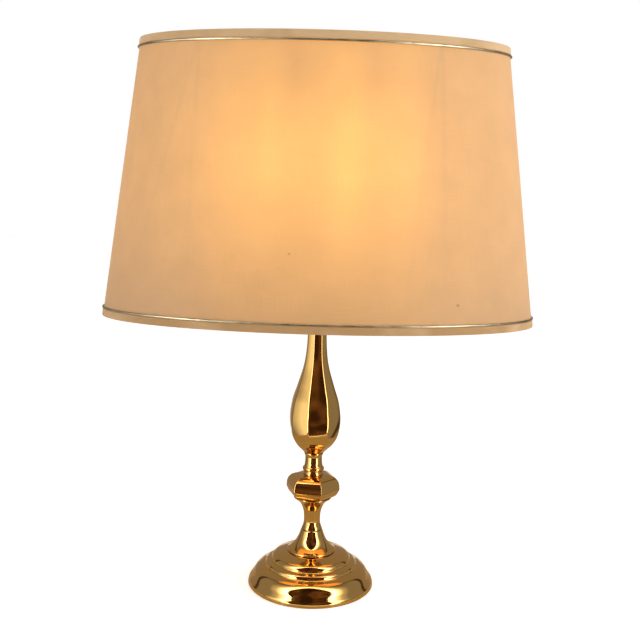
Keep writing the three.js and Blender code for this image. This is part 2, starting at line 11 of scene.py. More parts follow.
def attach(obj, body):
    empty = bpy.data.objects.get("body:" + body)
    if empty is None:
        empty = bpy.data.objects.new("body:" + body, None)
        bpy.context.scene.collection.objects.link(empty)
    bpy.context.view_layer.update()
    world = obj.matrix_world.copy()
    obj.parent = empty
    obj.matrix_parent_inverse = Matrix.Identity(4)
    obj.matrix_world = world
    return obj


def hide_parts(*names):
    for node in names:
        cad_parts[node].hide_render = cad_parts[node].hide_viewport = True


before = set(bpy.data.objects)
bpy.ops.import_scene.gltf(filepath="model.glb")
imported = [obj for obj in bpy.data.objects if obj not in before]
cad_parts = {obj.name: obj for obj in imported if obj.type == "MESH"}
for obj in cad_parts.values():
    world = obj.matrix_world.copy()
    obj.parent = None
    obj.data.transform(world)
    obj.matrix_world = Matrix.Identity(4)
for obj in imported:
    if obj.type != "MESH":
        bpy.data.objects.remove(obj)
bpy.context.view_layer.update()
scene = bpy.context.scene

# ---- Foot ----
# A disc of sheet brass spun over a former into a bulge, a step and a bead, then polished and
# lacquered. It sits over the iron weight and takes the bell on its flat top.

MM = 0.001
GAP = 0.3
ROD_HOLE = 5.5
TURNED_STEPS = 144
LEAST_TURN = 25  # degrees at which a corner counts as sharp


def linear(code):
    """An sRGB colour such as "#C08040" as a linear colour."""
    channels = [int(code[i : i + 2], 16) / 255 for i in (1, 3, 5)]
    return [c / 12.92 if c <= 0.04045 else ((c + 0.055) / 1.055) ** 2.4 for c in channels] + [1.0]


def add(tree, kind, settings={}, *values, to=None, **named):
    """Adds a node of a kind, and links its first output to a socket if one is given.

    settings may be only an operation's name. Inputs are given in order, by name with _ for a
    space, or numbered as n6. A node given as a value stands for its first output.
    """
    shader_kind = "ShaderNode" + kind
    made = tree.nodes.new(shader_kind if hasattr(bpy.types, shader_kind) else "GeometryNode" + kind)
    if isinstance(settings, str):
        settings = {"operation": settings}
    for key, value in settings.items():
        setattr(made, key, value)
    for key, value in [*enumerate(values), *named.items()]:
        if isinstance(key, str):
            key = int(key[1:]) if key[1:].isdigit() else key.replace("_", " ")
        if isinstance(value, bpy.types.Node):
            value = value.outputs[0]
        if isinstance(value, bpy.types.NodeSocket):
            tree.links.new(value, made.inputs[key])
        else:
            made.inputs[key].default_value = value
    if to:
        tree.links.new(made.outputs[0], to)
    return made


def surface(name, colour, **sockets):
    """A new material with its Principled shader, whose inputs are named with _ for a space."""
    made = bpy.data.materials.new(name)
    made.use_nodes = True
    shader = made.node_tree.nodes["Principled BSDF"]
    shader.inputs["Base Color"].default_value = linear(colour)
    for key, value in sockets.items():
        shader.inputs[key.replace("_", " ")].default_value = value
    return made, made.node_tree, shader


def near(radius, height, *offsets):
    """Points of an outline, each given by its offsets from a radius and a height."""
    return [(radius + across, height + up) for across, up in offsets]


def all_round(steps):
    """Angles all the way round."""
    return np.linspace(0, math.tau, steps, endpoint=False)


def smooth(divisions, *points):
    """A smooth outline through a few (radius, height) points, in millimetres."""
    found = []
    last = len(points) - 1
    for step in range(divisions + 1):
        at = step / divisions * last
        i = min(int(at), last - 1)
        t = at - i
        p = [np.array(points[min(max(i + k, 0), last)], float) for k in (-1, 0, 1, 2)]
        go, come = (p[2] - p[0]) / 2, (p[3] - p[1]) / 2
        spot = (
            (2 * p[1] - 2 * p[2] + go + come) * t**3
            + (-3 * p[1] + 3 * p[2] - 2 * go - come) * t**2
            + go * t
            + p[1]
        )
        found.append((float(spot[0]), float(spot[1])))
    return found


def eased(outline, radius):
    """Rounds the sharp corners of a closed outline of (radius, height) points."""
    found = []
    for i, here in enumerate(outline):
        back = Vector(outline[i - 1]) - Vector(here)
        on = Vector(outline[(i + 1) % len(outline)]) - Vector(here)
        straight = back.length < 1e-6 or on.length < 1e-6
        if here[0] < 1e-6 or straight or math.degrees((-back).angle(on)) < LEAST_TURN:
            found.append(tuple(here))
            continue
        reach = min(radius, back.length * 0.45, on.length * 0.45)
        start = Vector(here) + back.normalized() * reach
        end = Vector(here) + on.normalized() * reach
        for t in (0, 0.25, 0.5, 0.75, 1):
            spot = start * (1 - t) ** 2 + Vector(here) * 2 * t * (1 - t) + end * t**2
            found.append((spot.x, spot.y))
    return found


def turned(outline, angles=None, reach=None):
    """Vertices and faces of a solid turned from a closed outline in millimetres.

    An angle runs from the front to the right. reach(radius, angles) gives the radius at each angle.
    """
    if angles is None:
        angles = all_round(TURNED_STEPS)
    verts, rings = [], []
    for radius, height in outline:
        if radius < 1e-6:
            rings.append([len(verts)])
            verts.append((0, 0, height * MM))
            continue
        out = reach(radius, angles) if reach and radius > ROD_HOLE + 1e-6 else radius
        ring = np.column_stack([np.sin(angles) * out, -np.cos(angles) * out, angles * 0 + height])
        rings.append(list(range(len(verts), len(verts) + len(angles))))
        verts.extend(map(tuple, ring * MM))
    faces = []
    for i, ring in enumerate(rings):
        following = rings[(i + 1) % len(rings)]
        if len(ring) == 1 and len(following) == 1:
            continue
        for k in range(len(angles)):
            n = (k + 1) % len(angles)
            if len(ring) == 1:
                faces.append((ring[0], following[n], following[k]))
            elif len(following) == 1:
                faces.append((ring[k], ring[n], following[0]))
            else:
                faces.append((ring[k], ring[n], following[n], following[k]))
    return verts, faces


def in_scene(name, data):
    """A new object in the scene."""
    made = bpy.data.objects.new(name, data)
    scene.collection.objects.link(made)
    return made


def worked_out(made):
    """A new mesh of an object with its modifiers applied."""
    bpy.context.view_layer.update()
    return bpy.data.meshes.new_from_object(
        made.evaluated_get(bpy.context.evaluated_depsgraph_get())
    )


def piece(name, body, shape, finish, replaces, sharp=40, at=(0, 0)):
    """A finished piece from vertices and faces, riding on its body and standing for CAD nodes."""
    mesh = bpy.data.meshes.new(name)
    mesh.from_pydata([(x + at[0] * MM, y + at[1] * MM, z) for x, y, z in shape[0]], [], shape[1])
    work = bmesh.new()
    work.from_mesh(mesh)
    bmesh.ops.remove_doubles(work, verts=work.verts, dist=1e-7)
    bmesh.ops.recalc_face_normals(work, faces=work.faces)
    work.to_mesh(mesh)
    work.free()
    mesh.shade_smooth()
    mesh.set_sharp_from_angle(angle=math.radians(sharp))
    mesh.materials.append(finish)
    made = in_scene(name, mesh)
    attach(made, body)
    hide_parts(*replaces)
    return made


def brass_piece(name, shape, node):
    """A brass piece of the stand, which stands for one CAD node."""
    return piece(name, "stand", shape, brass, [node])


# Cast and spun brass, buffed to a mirror and lacquered: deep gold where it reflects a pale room,
# with faint smears of old polish that blur the reflections here and there.
brass, brass_tree, brass_shader = surface(
    "polished_lacquered_brass", "#DAAD65", Metallic=1.0, Roughness=0.08
)
brass_place = add(brass_tree, "TexCoord")
brass_smears = add(
    brass_tree, "TexNoise", Vector=brass_place.outputs["Object"], Scale=70.0, Detail=4.0
)
add(
    brass_tree, "MapRange", {}, brass_smears, 0.35, 0.7, 0.06, 0.11,
    to=brass_shader.inputs["Roughness"],
)

FOOT_RADIUS = 67.7
FOOT_HEIGHT = 37.3
SHOULDER_RADIUS, SHOULDER_HEIGHT = 57.2, 19.0
STEP_RADIUS, STEP_HEIGHT = 48.6, 26.6
PLATE_RADIUS, PLATE_HEIGHT = 38.4, 33.9
BELL_RADIUS = 26.0
FOOT_WALL = 1.6
foot_outside = [(FOOT_RADIUS - 1.2, 0)]
foot_outside += smooth(
    48,
    *near(FOOT_RADIUS, 0, (0, 1.2), (-0.2, 3.2), (-0.9, 5.4), (-2.7, 8), (-4.8, 11)),
    *near(SHOULDER_RADIUS, SHOULDER_HEIGHT, (2.9, -3.2), (0, 0), (-2.8, 1.6)),
)
foot_outside += smooth(
    24,
    *near(STEP_RADIUS, SHOULDER_HEIGHT, (1.6, 2.5), (0.3, 3.4)),
    *near(STEP_RADIUS, STEP_HEIGHT, (-0.3, -2), (-1.3, -0.6), (-3, 0)),
)
foot_outside += smooth(
    42,
    (PLATE_RADIUS + 5.2, STEP_HEIGHT + 0.6),
    *near(PLATE_RADIUS, PLATE_HEIGHT, (4, -5.9), (3.5, -3.9), (2.2, -1.7), (0, 0)),
    ((PLATE_RADIUS + BELL_RADIUS) / 2, PLATE_HEIGHT + 0.6 * (FOOT_HEIGHT - PLATE_HEIGHT)),
    (BELL_RADIUS + 0.4, FOOT_HEIGHT),
)
foot_inside = [
    (BELL_RADIUS - FOOT_WALL, FOOT_HEIGHT - FOOT_WALL),
    (PLATE_RADIUS - 1, PLATE_HEIGHT - FOOT_WALL - 0.2), (PLATE_RADIUS + 1.9, PLATE_HEIGHT - 4.6),
    (PLATE_RADIUS + 3.4, STEP_HEIGHT - 1), (STEP_RADIUS - 2.6, STEP_HEIGHT - 1.7),
    *near(STEP_RADIUS, SHOULDER_HEIGHT, (-1.9, 2), (-0.2, 0.6)),
    *near(SHOULDER_RADIUS, SHOULDER_HEIGHT, (-1.6, -1.6), (1.3, -4.3)),
    *near(FOOT_RADIUS, 0, (-4.4, 7.4), (-2.3, 3), (-2.8, 0)),
]
foot = brass_piece(
    "foot_spun_brass",
    turned(
        foot_outside + [(ROD_HOLE, FOOT_HEIGHT), (ROD_HOLE, FOOT_HEIGHT - FOOT_WALL)] + foot_inside
    ),
    "foot_shell",
)
NOTCH_WIDTH, NOTCH_LENGTH, NOTCH_HEIGHT = 9.0, 27.0, 9.0
notch_mesh = bpy.data.meshes.new("notch")
notch_work = bmesh.new()
bmesh.ops.create_cube(notch_work, size=1.0)
for corner in notch_work.verts:
    x, y, z = corner.co
    corner.co = x * NOTCH_WIDTH, y * NOTCH_LENGTH + FOOT_RADIUS, z * 2 * NOTCH_HEIGHT
    corner.co *= MM
notch_work.to_mesh(notch_mesh)
notch_work.free()
notch = in_scene("notch", notch_mesh)
cut = foot.modifiers.new("cord notch", "BOOLEAN")
cut.object = notch
cut.operation = "DIFFERENCE"
cut.solver = "EXACT"
foot_cut = worked_out(foot)
foot.modifiers.remove(cut)
foot.data = foot_cut
foot_cut.name = "foot_spun_brass"
foot_cut.shade_smooth()
foot_cut.set_sharp_from_angle(angle=math.radians(40))
bpy.data.objects.remove(notch)

# ---- Weight, felt, grommet and clamp ----
# Hidden in the foot: a rough cast-iron weight, a disc of green felt glued over the opening, a
# moulded grommet in the cord notch, and the zinc-plated rod, washer and nut that clamp the stem.


def grained(tree, shader, scale, detail, strength, distance, distortion=0.0):
    """Fine grain in Object coordinates that raises a surface. Returns its noise."""
    place = add(tree, "TexCoord")
    grain = add(
        tree, "TexNoise", Vector=place.outputs["Object"], Scale=scale, Detail=detail,
        Distortion=distortion,
    )
    add(
        tree, "Bump", Height=grain, Strength=strength, Distance=distance,
        to=shader.inputs["Normal"],
    )
    return grain


iron, iron_tree, iron_shader = surface("cast_iron", "#3C3A38", Roughness=0.8)
grained(iron_tree, iron_shader, 900.0, 3.0, 0.5, 0.0004)

# Pressed wool: matt, with short fibres in every direction.
felt, felt_tree, felt_shader = surface(
    "pressed_wool_felt", "#2F4A36", Roughness=0.95, Sheen_Weight=0.3
)
felt_fibres = grained(felt_tree, felt_shader, 1400.0, 4.0, 0.6, 0.0003, distortion=1.5)
felt_shades = add(felt_tree, "ValToRGB", Fac=felt_fibres, to=felt_shader.inputs["Base Color"])
for stop, place, tone in zip(felt_shades.color_ramp.elements, (0, 1), ("#24392A", "#3D5C45")):
    stop.position, stop.color = place, linear(tone)

# Moulded phenolic: near black with a satin sheen from the mould.
phenolic, _, _ = surface("moulded_phenolic", "#1C1A18", Roughness=0.32)
# Zinc plating over turned or drawn steel: bluish grey, softly bright.
zinc, _, _ = surface("zinc_plated_steel", "#B4B7BA", Metallic=1.0, Roughness=0.3)
# Glazed porcelain: off-white under a clear glassy coat.
porcelain, _, _ = surface("glazed_porcelain", "#E9E4DA", Roughness=0.15)

# Pieces that are hidden in the lamp keep the CAD's own mesh and get a finish each.
for finish, hidden in (
    (iron, ["foot_weight"]),
    (felt, ["felt_pad"]),
    (phenolic, ["cord_grommet", "bulb_tip_left", "bulb_tip_right"]),
    (zinc, ["clamp_washer", "clamp_nut", "threaded_rod"]),
    (porcelain, ["holder_insulator_left", "holder_insulator_right"]),
    (brass, ["arm_nut_left", "arm_nut_right", "stub_nut"]),
    (brass, ["centre_contact_left", "centre_contact_right"]),
):
    for name in hidden:
        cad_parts[name].data.materials[0] = finish

# ---- Bell ----
# A turned brass collar that flares on to the foot's plate, with a rounded lip at its base. Its
# top edge is chamfered, so a dark groove shows where the lower stem stands on it.

BELL_BASE = FOOT_HEIGHT + GAP
BELL_HEIGHT = 23.4
SEAM_RADIUS = 11.6
bell_top = BELL_BASE + BELL_HEIGHT
bell_outside = near(BELL_RADIUS, BELL_BASE, (-0.6, 0), (0, 0.7), (0, 1.5))
bell_outside += smooth(
    56,
    *near(BELL_RADIUS, BELL_BASE, (-0.4, 2.1), (-3.1, 3.9), (-6.8, 7.2)),
    (SEAM_RADIUS + 4.8, BELL_BASE + 10.9),
    *near(SEAM_RADIUS, bell_top, (2.5, -7.8), (1.1, -4), (0, -0.8)),
)
bell_outside += [(SEAM_RADIUS - 0.9, bell_top)]


def bored(outside):
    """The outline of a piece with the rod's straight hole, from its outside running up."""
    return [(ROD_HOLE, outside[0][1]), *outside, (ROD_HOLE, outside[-1][1])]


brass_piece("bell_turned_brass", turned(bored(bell_outside)), "bell")

# ---- Lower stem ----
# A waisted brass casting, turned and polished, that opens into the cup under the knop.

LOWER_BASE = bell_top + GAP
LOWER_HEIGHT = 36.7
WAIST_RADIUS = 8.75
CUP_RADIUS = 20.6
lower_top = LOWER_BASE + LOWER_HEIGHT
lower_outside = [(SEAM_RADIUS - 1.2, LOWER_BASE)]
lower_outside += smooth(
    56,
    (SEAM_RADIUS - 0.5, LOWER_BASE + 0.6),
    *near(WAIST_RADIUS, LOWER_BASE, (0.8, 4.7), (0, 9.8)),
    *near(WAIST_RADIUS, lower_top, (0.7, -16.8), (3.7, -8.8)),
    *near(CUP_RADIUS, lower_top, (-4.6, -4.6), (-0.4, -1.6)),
)
lower_outside += [(CUP_RADIUS, lower_top - 0.6), (CUP_RADIUS - 0.8, lower_top)]
brass_piece("lower_stem_brass", turned(eased(bored(lower_outside), 0.5)), "lower_stem")

# ---- Knop ----
# A hexagonal brass casting: tapered below, a thin upright rim, and six domed faces above. Its
# edges are eased only by the buffing wheel, so each carries a thin bright line.

KNOP_BASE = lower_top + GAP
KNOP_HEIGHT = 24.4
KNOP_RADIUS = 29.4
KNOP_RIM = KNOP_BASE + 8.3
KNOP_TURN = 18.0
BEAD_RADIUS = 11.6


def facets(sides, turn, marks, corner, bulge):
    """Angles for turned round a faceted piece, and its reach: crowned sides with rounded corners.

    Marks are in degrees from the middle of each side. corner is the corner's radius as a part of
    the piece's own, and bulge the crown's height.
    """
    half = math.pi / sides
    marked = [turn + 180 / sides + 360 * k / sides + m for k in range(sides) for m in marks]

    def reach(radius, angles):
        from_middle = (angles - math.radians(turn)) % (2 * half) - half
        flat = radius * math.cos(half)
        nose = radius * corner
        centre = (flat - nose) / math.cos(half)
        meets = math.atan2((flat - nose) * math.tan(half), flat)
        away = np.abs(from_middle)
        side = flat / np.cos(away) + radius * bulge * (1 - (np.minimum(away, meets) / meets) ** 2)
        off = half - away
        inner = np.maximum(nose**2 - (centre * np.sin(off)) ** 2, 0)
        return np.where(away < meets, side, centre * np.cos(off) + np.sqrt(inner))

    return np.radians(np.array(marked)), reach


HEX_MARKS = (-30, -29.5, -29, -28.2, -26, -20, -12, -4, 4, 12, 20, 26, 28.2, 29, 29.5)
knop_top = KNOP_BASE + KNOP_HEIGHT
knop_outline = smooth(
    16,
    *near(KNOP_RADIUS, KNOP_BASE, (-6.9, 0), (-4.7, 1.3), (-2.2, 4)),
    (KNOP_RADIUS - 0.5, KNOP_RIM - 0.7),
)
knop_outline += [(KNOP_RADIUS, KNOP_RIM)]
knop_outline += smooth(
    40,
    *near(KNOP_RADIUS, KNOP_RIM, (0, 1.7), (-0.4, 5.8), (-2, 10), (-5.8, 13.6)),
    (KNOP_RADIUS - 11.9, knop_top - 0.5), (BEAD_RADIUS + 1.4, knop_top),
)
brass_piece(
    "knop_hexagonal_brass",
    turned(eased(bored(knop_outline), 0.6), *facets(6, KNOP_TURN, HEX_MARKS, 0.03, 0.006)),
    "knop",
)

# ---- Neck ----
# A short turned brass neck with a bead ring, between the knop and the baluster.

NECK_BASE = knop_top + GAP
NECK_HEIGHT = 23.3
NECK_RADIUS = 9.05
neck_outside = [(BEAD_RADIUS - 0.6, NECK_BASE), (BEAD_RADIUS - 1.3, NECK_BASE + 1.2)]
neck_outside += smooth(
    96,
    *near(BEAD_RADIUS, NECK_BASE, (-1.3, 2.6), (-1.6, 3.3), (-0.5, 4.2), (0, 5.8), (-0.5, 7.4)),
    *near(
        NECK_RADIUS, NECK_BASE, (1, 8.5), (0.3, 11.6), (0, 15.4), (0, 18.6), (0.5, 21),
        (1.2, 22.1),
    ),
    (NECK_RADIUS + 1.2, NECK_BASE + NECK_HEIGHT),
)
brass_piece("neck_turned_brass", turned(eased(bored(neck_outside), 0.4)), "neck")

# ---- Baluster ----
# The long octagonal brass casting, widest a quarter of the way up. Its eight faces are ground
# nearly flat across, and the wheel has rounded the edges between them.

BALUSTER_BASE = NECK_BASE + NECK_HEIGHT + GAP
BALUSTER_HEIGHT = 159.4
BALUSTER_RADIUS = 28.4
BALUSTER_TOP_RADIUS = 10.4
BALUSTER_TURN = -13.6
OCT_MARKS = (-22.5, -21.2, -19.9, -18.6, -17, -13, -8, -3, 3, 8, 13, 17, 18.6, 19.9, 21.2)
# Radii at parts of its height, from the bottom.
baluster_marks = [
    (NECK_RADIUS + 1.6, 0),
    *near(BALUSTER_RADIUS, 0, (-14.6, 0.02), (-7.9, 0.061), (-2.6, 0.122), (0, 0.226)),
    *near(BALUSTER_RADIUS, 0, (-2.4, 0.348), (-8.2, 0.46)),
    *near(BALUSTER_TOP_RADIUS, 0, (3.7, 0.586), (1, 0.696), (0, 0.828), (0, 1)),
]
baluster_outside = smooth(
    120, *((radius, BALUSTER_BASE + BALUSTER_HEIGHT * part) for radius, part in baluster_marks)
)
brass_piece(
    "baluster_octagonal_brass",
    turned(bored(baluster_outside), *facets(8, BALUSTER_TURN, OCT_MARKS, 0.16, 0.012)),
    "baluster",
)

# ---- Stem cap ----
# A small turned brass cap that ends the baluster inside the shade and carries the cluster.

CAP_BASE = BALUSTER_BASE + BALUSTER_HEIGHT + GAP
CAP_HEIGHT = 15.7
CAP_RADIUS = 14.5
cap_outside = smooth(
    36,
    *near(BALUSTER_TOP_RADIUS, CAP_BASE, (1.6, 0), (2.2, 1.2), (1.6, 2.4), (-0.4, 4.6), (1, 9)),
    (CAP_RADIUS, CAP_BASE + CAP_HEIGHT - 2.6), (CAP_RADIUS, CAP_BASE + CAP_HEIGHT),
)
brass_piece("stem_cap_brass", turned(bored(cap_outside)), "stem_cap")

# ---- Cluster ----
# The hollow brass body that splits the lamp in two, with a bent brass tube out to each holder.

CLUSTER_BASE = CAP_BASE + CAP_HEIGHT + GAP
CLUSTER_HEIGHT = 29.0
CLUSTER_RADIUS = 15.5
ARM_LEVEL = CLUSTER_BASE + CLUSTER_HEIGHT / 2 + 1
ARM_RISE = 26.0
ARM_TOP = ARM_LEVEL + ARM_RISE
ARM_TUBE = 5.0
LIGHT_SPREAD = 46.0
cluster_top = CLUSTER_BASE + CLUSTER_HEIGHT
cluster_outside = [(CLUSTER_RADIUS - 4.5, CLUSTER_BASE)]
cluster_outside += smooth(
    30,
    (CLUSTER_RADIUS - 3, CLUSTER_BASE + 2), (CLUSTER_RADIUS, ARM_LEVEL),
    (CLUSTER_RADIUS - 3.5, cluster_top - 3),
)
cluster_outside += [(CLUSTER_RADIUS - 5.5, cluster_top)]
brass_piece("cluster_body_brass", turned(eased(bored(cluster_outside), 0.5)), "cluster_body")


def bent(bend, *points, steps=10):
    """A path through points in millimetres, with each inner corner rounded."""
    found = [Vector(points[0])]
    for before, here, after in zip(points, points[1:], points[2:]):
        start = Vector(here) + (Vector(before) - Vector(here)).normalized() * bend
        end = Vector(here) + (Vector(after) - Vector(here)).normalized() * bend
        for k in range(steps + 1):
            t = k / steps
            found.append(start * (1 - t) ** 2 + Vector(here) * 2 * t * (1 - t) + end * t**2)
    return found + [Vector(points[-1])]


def quads(rings, around, closed=True):
    """Faces of a skin over rings of points, each ring joined to the next."""
    faces = []
    for ring in range(rings if closed else rings - 1):
        here, after = ring * around, (ring + 1) % rings * around
        for k in range(around):
            n = (k + 1) % around
            faces.append((here + k, here + n, after + n, after + k))
    return faces


def tube(path, radius, sides, closed=False):
    """Vertices and faces of a round bar along a path in millimetres."""
    verts = []
    count = len(path)
    side = Vector((0, 0, 1)) if closed else None
    for i, here in enumerate(path):
        before = path[i - 1] if closed or i else here
        after = path[(i + 1) % count] if closed or i < count - 1 else here
        along = (after - before).normalized()
        if side is None:
            side = along.orthogonal().normalized()
        side = (side - along * side.dot(along)).normalized()
        up = along.cross(side)
        for k in range(sides):
            turn = math.tau * k / sides
            verts.append(
                tuple((here + (side * math.cos(turn) + up * math.sin(turn)) * radius) * MM)
            )
    faces = quads(count, sides, closed)
    if not closed:
        faces.append(tuple(range(sides - 1, -1, -1)))
        faces.append(tuple(range((count - 1) * sides, count * sides)))
    return verts, faces


for side, name in ((-1, "left"), (1, "right")):
    arm_path = bent(
        15,
        (side * (CLUSTER_RADIUS + GAP), 0, ARM_LEVEL), (side * LIGHT_SPREAD, 0, ARM_LEVEL),
        (side * LIGHT_SPREAD, 0, ARM_TOP),
        steps=16,
    )
    brass_piece(f"cluster_tube_{name}", tube(arm_path, ARM_TUBE, 24), f"cluster_arm_{name}")

# ---- Bulb holders ----
# Each is a brass cap on the arm's thread, a moulded shell screwed to it, a porcelain disc inside
# with the centre contact, and a thin brass sleeve that takes the bulb's screw cap.

ARM_THREAD, ARM_NUT = 8.5, 3.2
HOLDER_BASE = ARM_TOP - ARM_THREAD + ARM_NUT + GAP
HOLDER_CAP_HEIGHT = 19.0
HOLDER_RADIUS = 19.0
HOLDER_WALL = 1.8
HOLDER_CAP_RADIUS = HOLDER_RADIUS - 0.4
ARM_HOLE = ARM_TUBE + GAP
SHELL_BASE = HOLDER_BASE + HOLDER_CAP_HEIGHT + GAP
SHELL_HEIGHT = 37.5
SHELL_TOP = SHELL_BASE + SHELL_HEIGHT
INSULATOR_SINK, INSULATOR_HEIGHT = 6.0, 13.7
SLEEVE_BASE = SHELL_BASE - INSULATOR_SINK + INSULATOR_HEIGHT + GAP
SLEEVE_INSIDE, SLEEVE_WALL, SLEEVE_HEIGHT = 13.6, 0.6, 25.0
cap_top = HOLDER_BASE + HOLDER_CAP_HEIGHT
holder_cap = [(ARM_HOLE, HOLDER_BASE)]
holder_cap += smooth(
    24,
    (ARM_HOLE + 2.4, HOLDER_BASE), *near(HOLDER_RADIUS, HOLDER_BASE, (-7, 3), (-2.4, 9)),
    (HOLDER_CAP_RADIUS, HOLDER_BASE + 14), (HOLDER_CAP_RADIUS, cap_top),
)
holder_cap += [
    (HOLDER_CAP_RADIUS - HOLDER_WALL, cap_top), (HOLDER_CAP_RADIUS - HOLDER_WALL, HOLDER_BASE + 13),
    (HOLDER_RADIUS - 8, HOLDER_BASE + 5.4), (ARM_HOLE, HOLDER_BASE + 2),
]
holder_shell = [
    (HOLDER_RADIUS - HOLDER_WALL, SHELL_BASE),
    *near(HOLDER_RADIUS, SHELL_BASE, (0, 0), (0, 6), (-0.8, 7)),
]
RIDGES, RIDGE_PITCH = 9, 2.6
for ridge in range(RIDGES):
    level = SHELL_BASE + 9 + ridge * RIDGE_PITCH
    holder_shell += near(HOLDER_RADIUS, level, (-0.8, 0), (-0.2, 0.65), (-0.8, 1.3))
holder_shell += [
    *near(HOLDER_RADIUS, SHELL_TOP, (-0.8, -4), (0, -3), (0, 0)),
    *near(SLEEVE_INSIDE, SHELL_TOP, (1, 0), (1, -1.5)),
    (HOLDER_RADIUS - 0.8 - HOLDER_WALL, SHELL_TOP - 3),
]
holder_sleeve = [
    *near(SLEEVE_INSIDE, SLEEVE_BASE, (0, 0), (SLEEVE_WALL, 0)),
    *near(SLEEVE_INSIDE, SLEEVE_BASE + SLEEVE_HEIGHT, (SLEEVE_WALL, 0), (0, 0)),
]
round_steps = all_round(64)


def both_sides(body, *parts):
    """Turned pieces round the middle of each bulb: name, outline, slot (not used), finish and CAD
    node.
    """
    for side, name in ((-1, "left"), (1, "right")):
        for part, outline, slot, finish, node in parts:
            piece(
                f"{part}_{name}", body.format(name), turned(outline, round_steps), finish,
                [f"{node}_{name}"], at=(side * LIGHT_SPREAD, 0),
            )


both_sides(
    "stand",
    ("holder_brass_cap", eased(holder_cap, 0.4), "brass", brass, "holder_cap"),
    ("holder_moulded_shell", eased(holder_shell, 0.3), "black_plastic", phenolic, "holder_shell"),
    ("holder_screw_sleeve", holder_sleeve, "brass", brass, "screw_sleeve"),
)

# ---- Bulbs ----
# Opal glass globes, 55 mm across, on rolled-thread screw caps. They are lit: the glass glows a
# warm white all over.

CONTACT_HEIGHT, TIP_HEIGHT = 2.8, 2.4
BULB_CAP_BASE = SLEEVE_BASE + CONTACT_HEIGHT + GAP + TIP_HEIGHT + GAP
BULB_CAP_HEIGHT = 23.7
BULB_CAP_RADIUS = 13.2
GLASS_BASE = BULB_CAP_BASE + BULB_CAP_HEIGHT + GAP
GLASS_HEIGHT = 71.3
BULB_RADIUS = 27.5
BULB_NECK = 12.6
GLASS_WALL = 0.9
BULB_MIDDLE = GLASS_BASE + GLASS_HEIGHT - BULB_RADIUS
screw_cap = [(0, BULB_CAP_BASE), *near(BULB_CAP_RADIUS, BULB_CAP_BASE, (-4.4, 0), (-1.2, 3.4))]
CAP_THREADS, CAP_PITCH = 5, 3.2
for thread in range(CAP_THREADS):
    level = BULB_CAP_BASE + 4.4 + thread * CAP_PITCH
    screw_cap += [(BULB_CAP_RADIUS - 1.1, level), (BULB_CAP_RADIUS, level + 1.6)]
screw_cap += [
    (BULB_CAP_RADIUS - 1.1, BULB_CAP_BASE + BULB_CAP_HEIGHT - 3),
    (BULB_NECK + 0.3, BULB_CAP_BASE + BULB_CAP_HEIGHT), (0, BULB_CAP_BASE + BULB_CAP_HEIGHT),
]
glass_outside = smooth(
    24,
    *near(BULB_NECK, GLASS_BASE, (0, 0), (1.6, 9)),
    *near(BULB_RADIUS, BULB_MIDDLE, (-4.4, -17), (0, 0)),
)
for step in range(1, 16):
    turn = math.pi / 2 * step / 16
    glass_outside.append((BULB_RADIUS * math.cos(turn), BULB_MIDDLE + BULB_RADIUS * math.sin(turn)))
glass_inside = [(r - GLASS_WALL, z) for r, z in glass_outside]
glass_outside.append((0, BULB_MIDDLE + BULB_RADIUS))
glass_inside.append((0, BULB_MIDDLE + BULB_RADIUS - GLASS_WALL))
opal, _, _ = surface(
    "lit_opal_glass", "#F6EEDD", Roughness=0.25, Emission_Color=linear("#FFD08E"),
    Emission_Strength=1.1,
)
both_sides(
    "bulb_{}",
    ("bulb_screw_cap", screw_cap, "steel", zinc, "bulb_cap"),
    ("bulb_opal_globe", glass_outside + glass_inside[::-1], "opal_glass", opal, "bulb_glass"),
)

# ---- Stub and seat ----
# A short plated tube screwed into the cluster, locked by a brass nut, with a loose brass washer
# on which the shade's hub lies.

STUB_RADIUS, STUB_BORE = 5.0, 3.4
STUB_TOP = 372.0
ROD_SHORT = 4.0  # the threaded rod ends this far below the cluster's middle
stub_base = CLUSTER_BASE + CLUSTER_HEIGHT / 2 - ROD_SHORT + GAP
STUB_NUT = 4.6
SEAT_BASE = cluster_top + GAP + STUB_NUT + GAP
SEAT_RADIUS, PLATE_THICKNESS = 14.0, 2.0
stub_outline = [(STUB_BORE, stub_base), (STUB_RADIUS, stub_base), (STUB_RADIUS, SEAT_BASE)]
THREAD_PITCH = 1.0
for turn in range(int((STUB_TOP - SEAT_BASE) / THREAD_PITCH)):
    level = SEAT_BASE + turn * THREAD_PITCH
    stub_outline += [(STUB_RADIUS - 0.5, level + 0.5), (STUB_RADIUS, level + 1)]
stub_outline += [(STUB_BORE, STUB_TOP)]
piece(
    "stub_threaded_tube", "stand", turned(stub_outline, round_steps), zinc, ["shade_stub"],
    sharp=60,
)
washer = bored(near(SEAT_RADIUS, SEAT_BASE, (0, 0), (0, PLATE_THICKNESS)))
piece("seat_brass_washer", "seat", turned(eased(washer, 0.4)), brass, ["shade_seat"])

# ---- Shade frame ----
# Welded steel wire, zinc plated: a pressed hub, four bent arms that pass between the bulbs and
# rise to the top hoop, and a hoop in each edge of the shade.

SHADE_BOTTOM, SHADE_TOP = 290.0, 570.0
BOTTOM_WIDTH, BOTTOM_DEPTH = 448.0, 210.0
TOP_WIDTH, TOP_DEPTH = 370.0, 174.0
COVER = 1.0
TAPE = 0.65
HOOP_WIRE = 1.75
HOOP_STEPS = 180
ARM_WIRE = 2.0
HUB_BASE = SEAT_BASE + PLATE_THICKNESS + GAP
HUB_RADIUS = 13.5
ARM_ELBOW, ARM_KNEE, ARM_ANGLE = (28, 36), (77, 58), 39
HOOP_OFFSET = -(COVER + TAPE + HOOP_WIRE)
hoop_levels = {
    "top": SHADE_TOP - TAPE - GAP - HOOP_WIRE, "bottom": SHADE_BOTTOM + TAPE + GAP + HOOP_WIRE
}


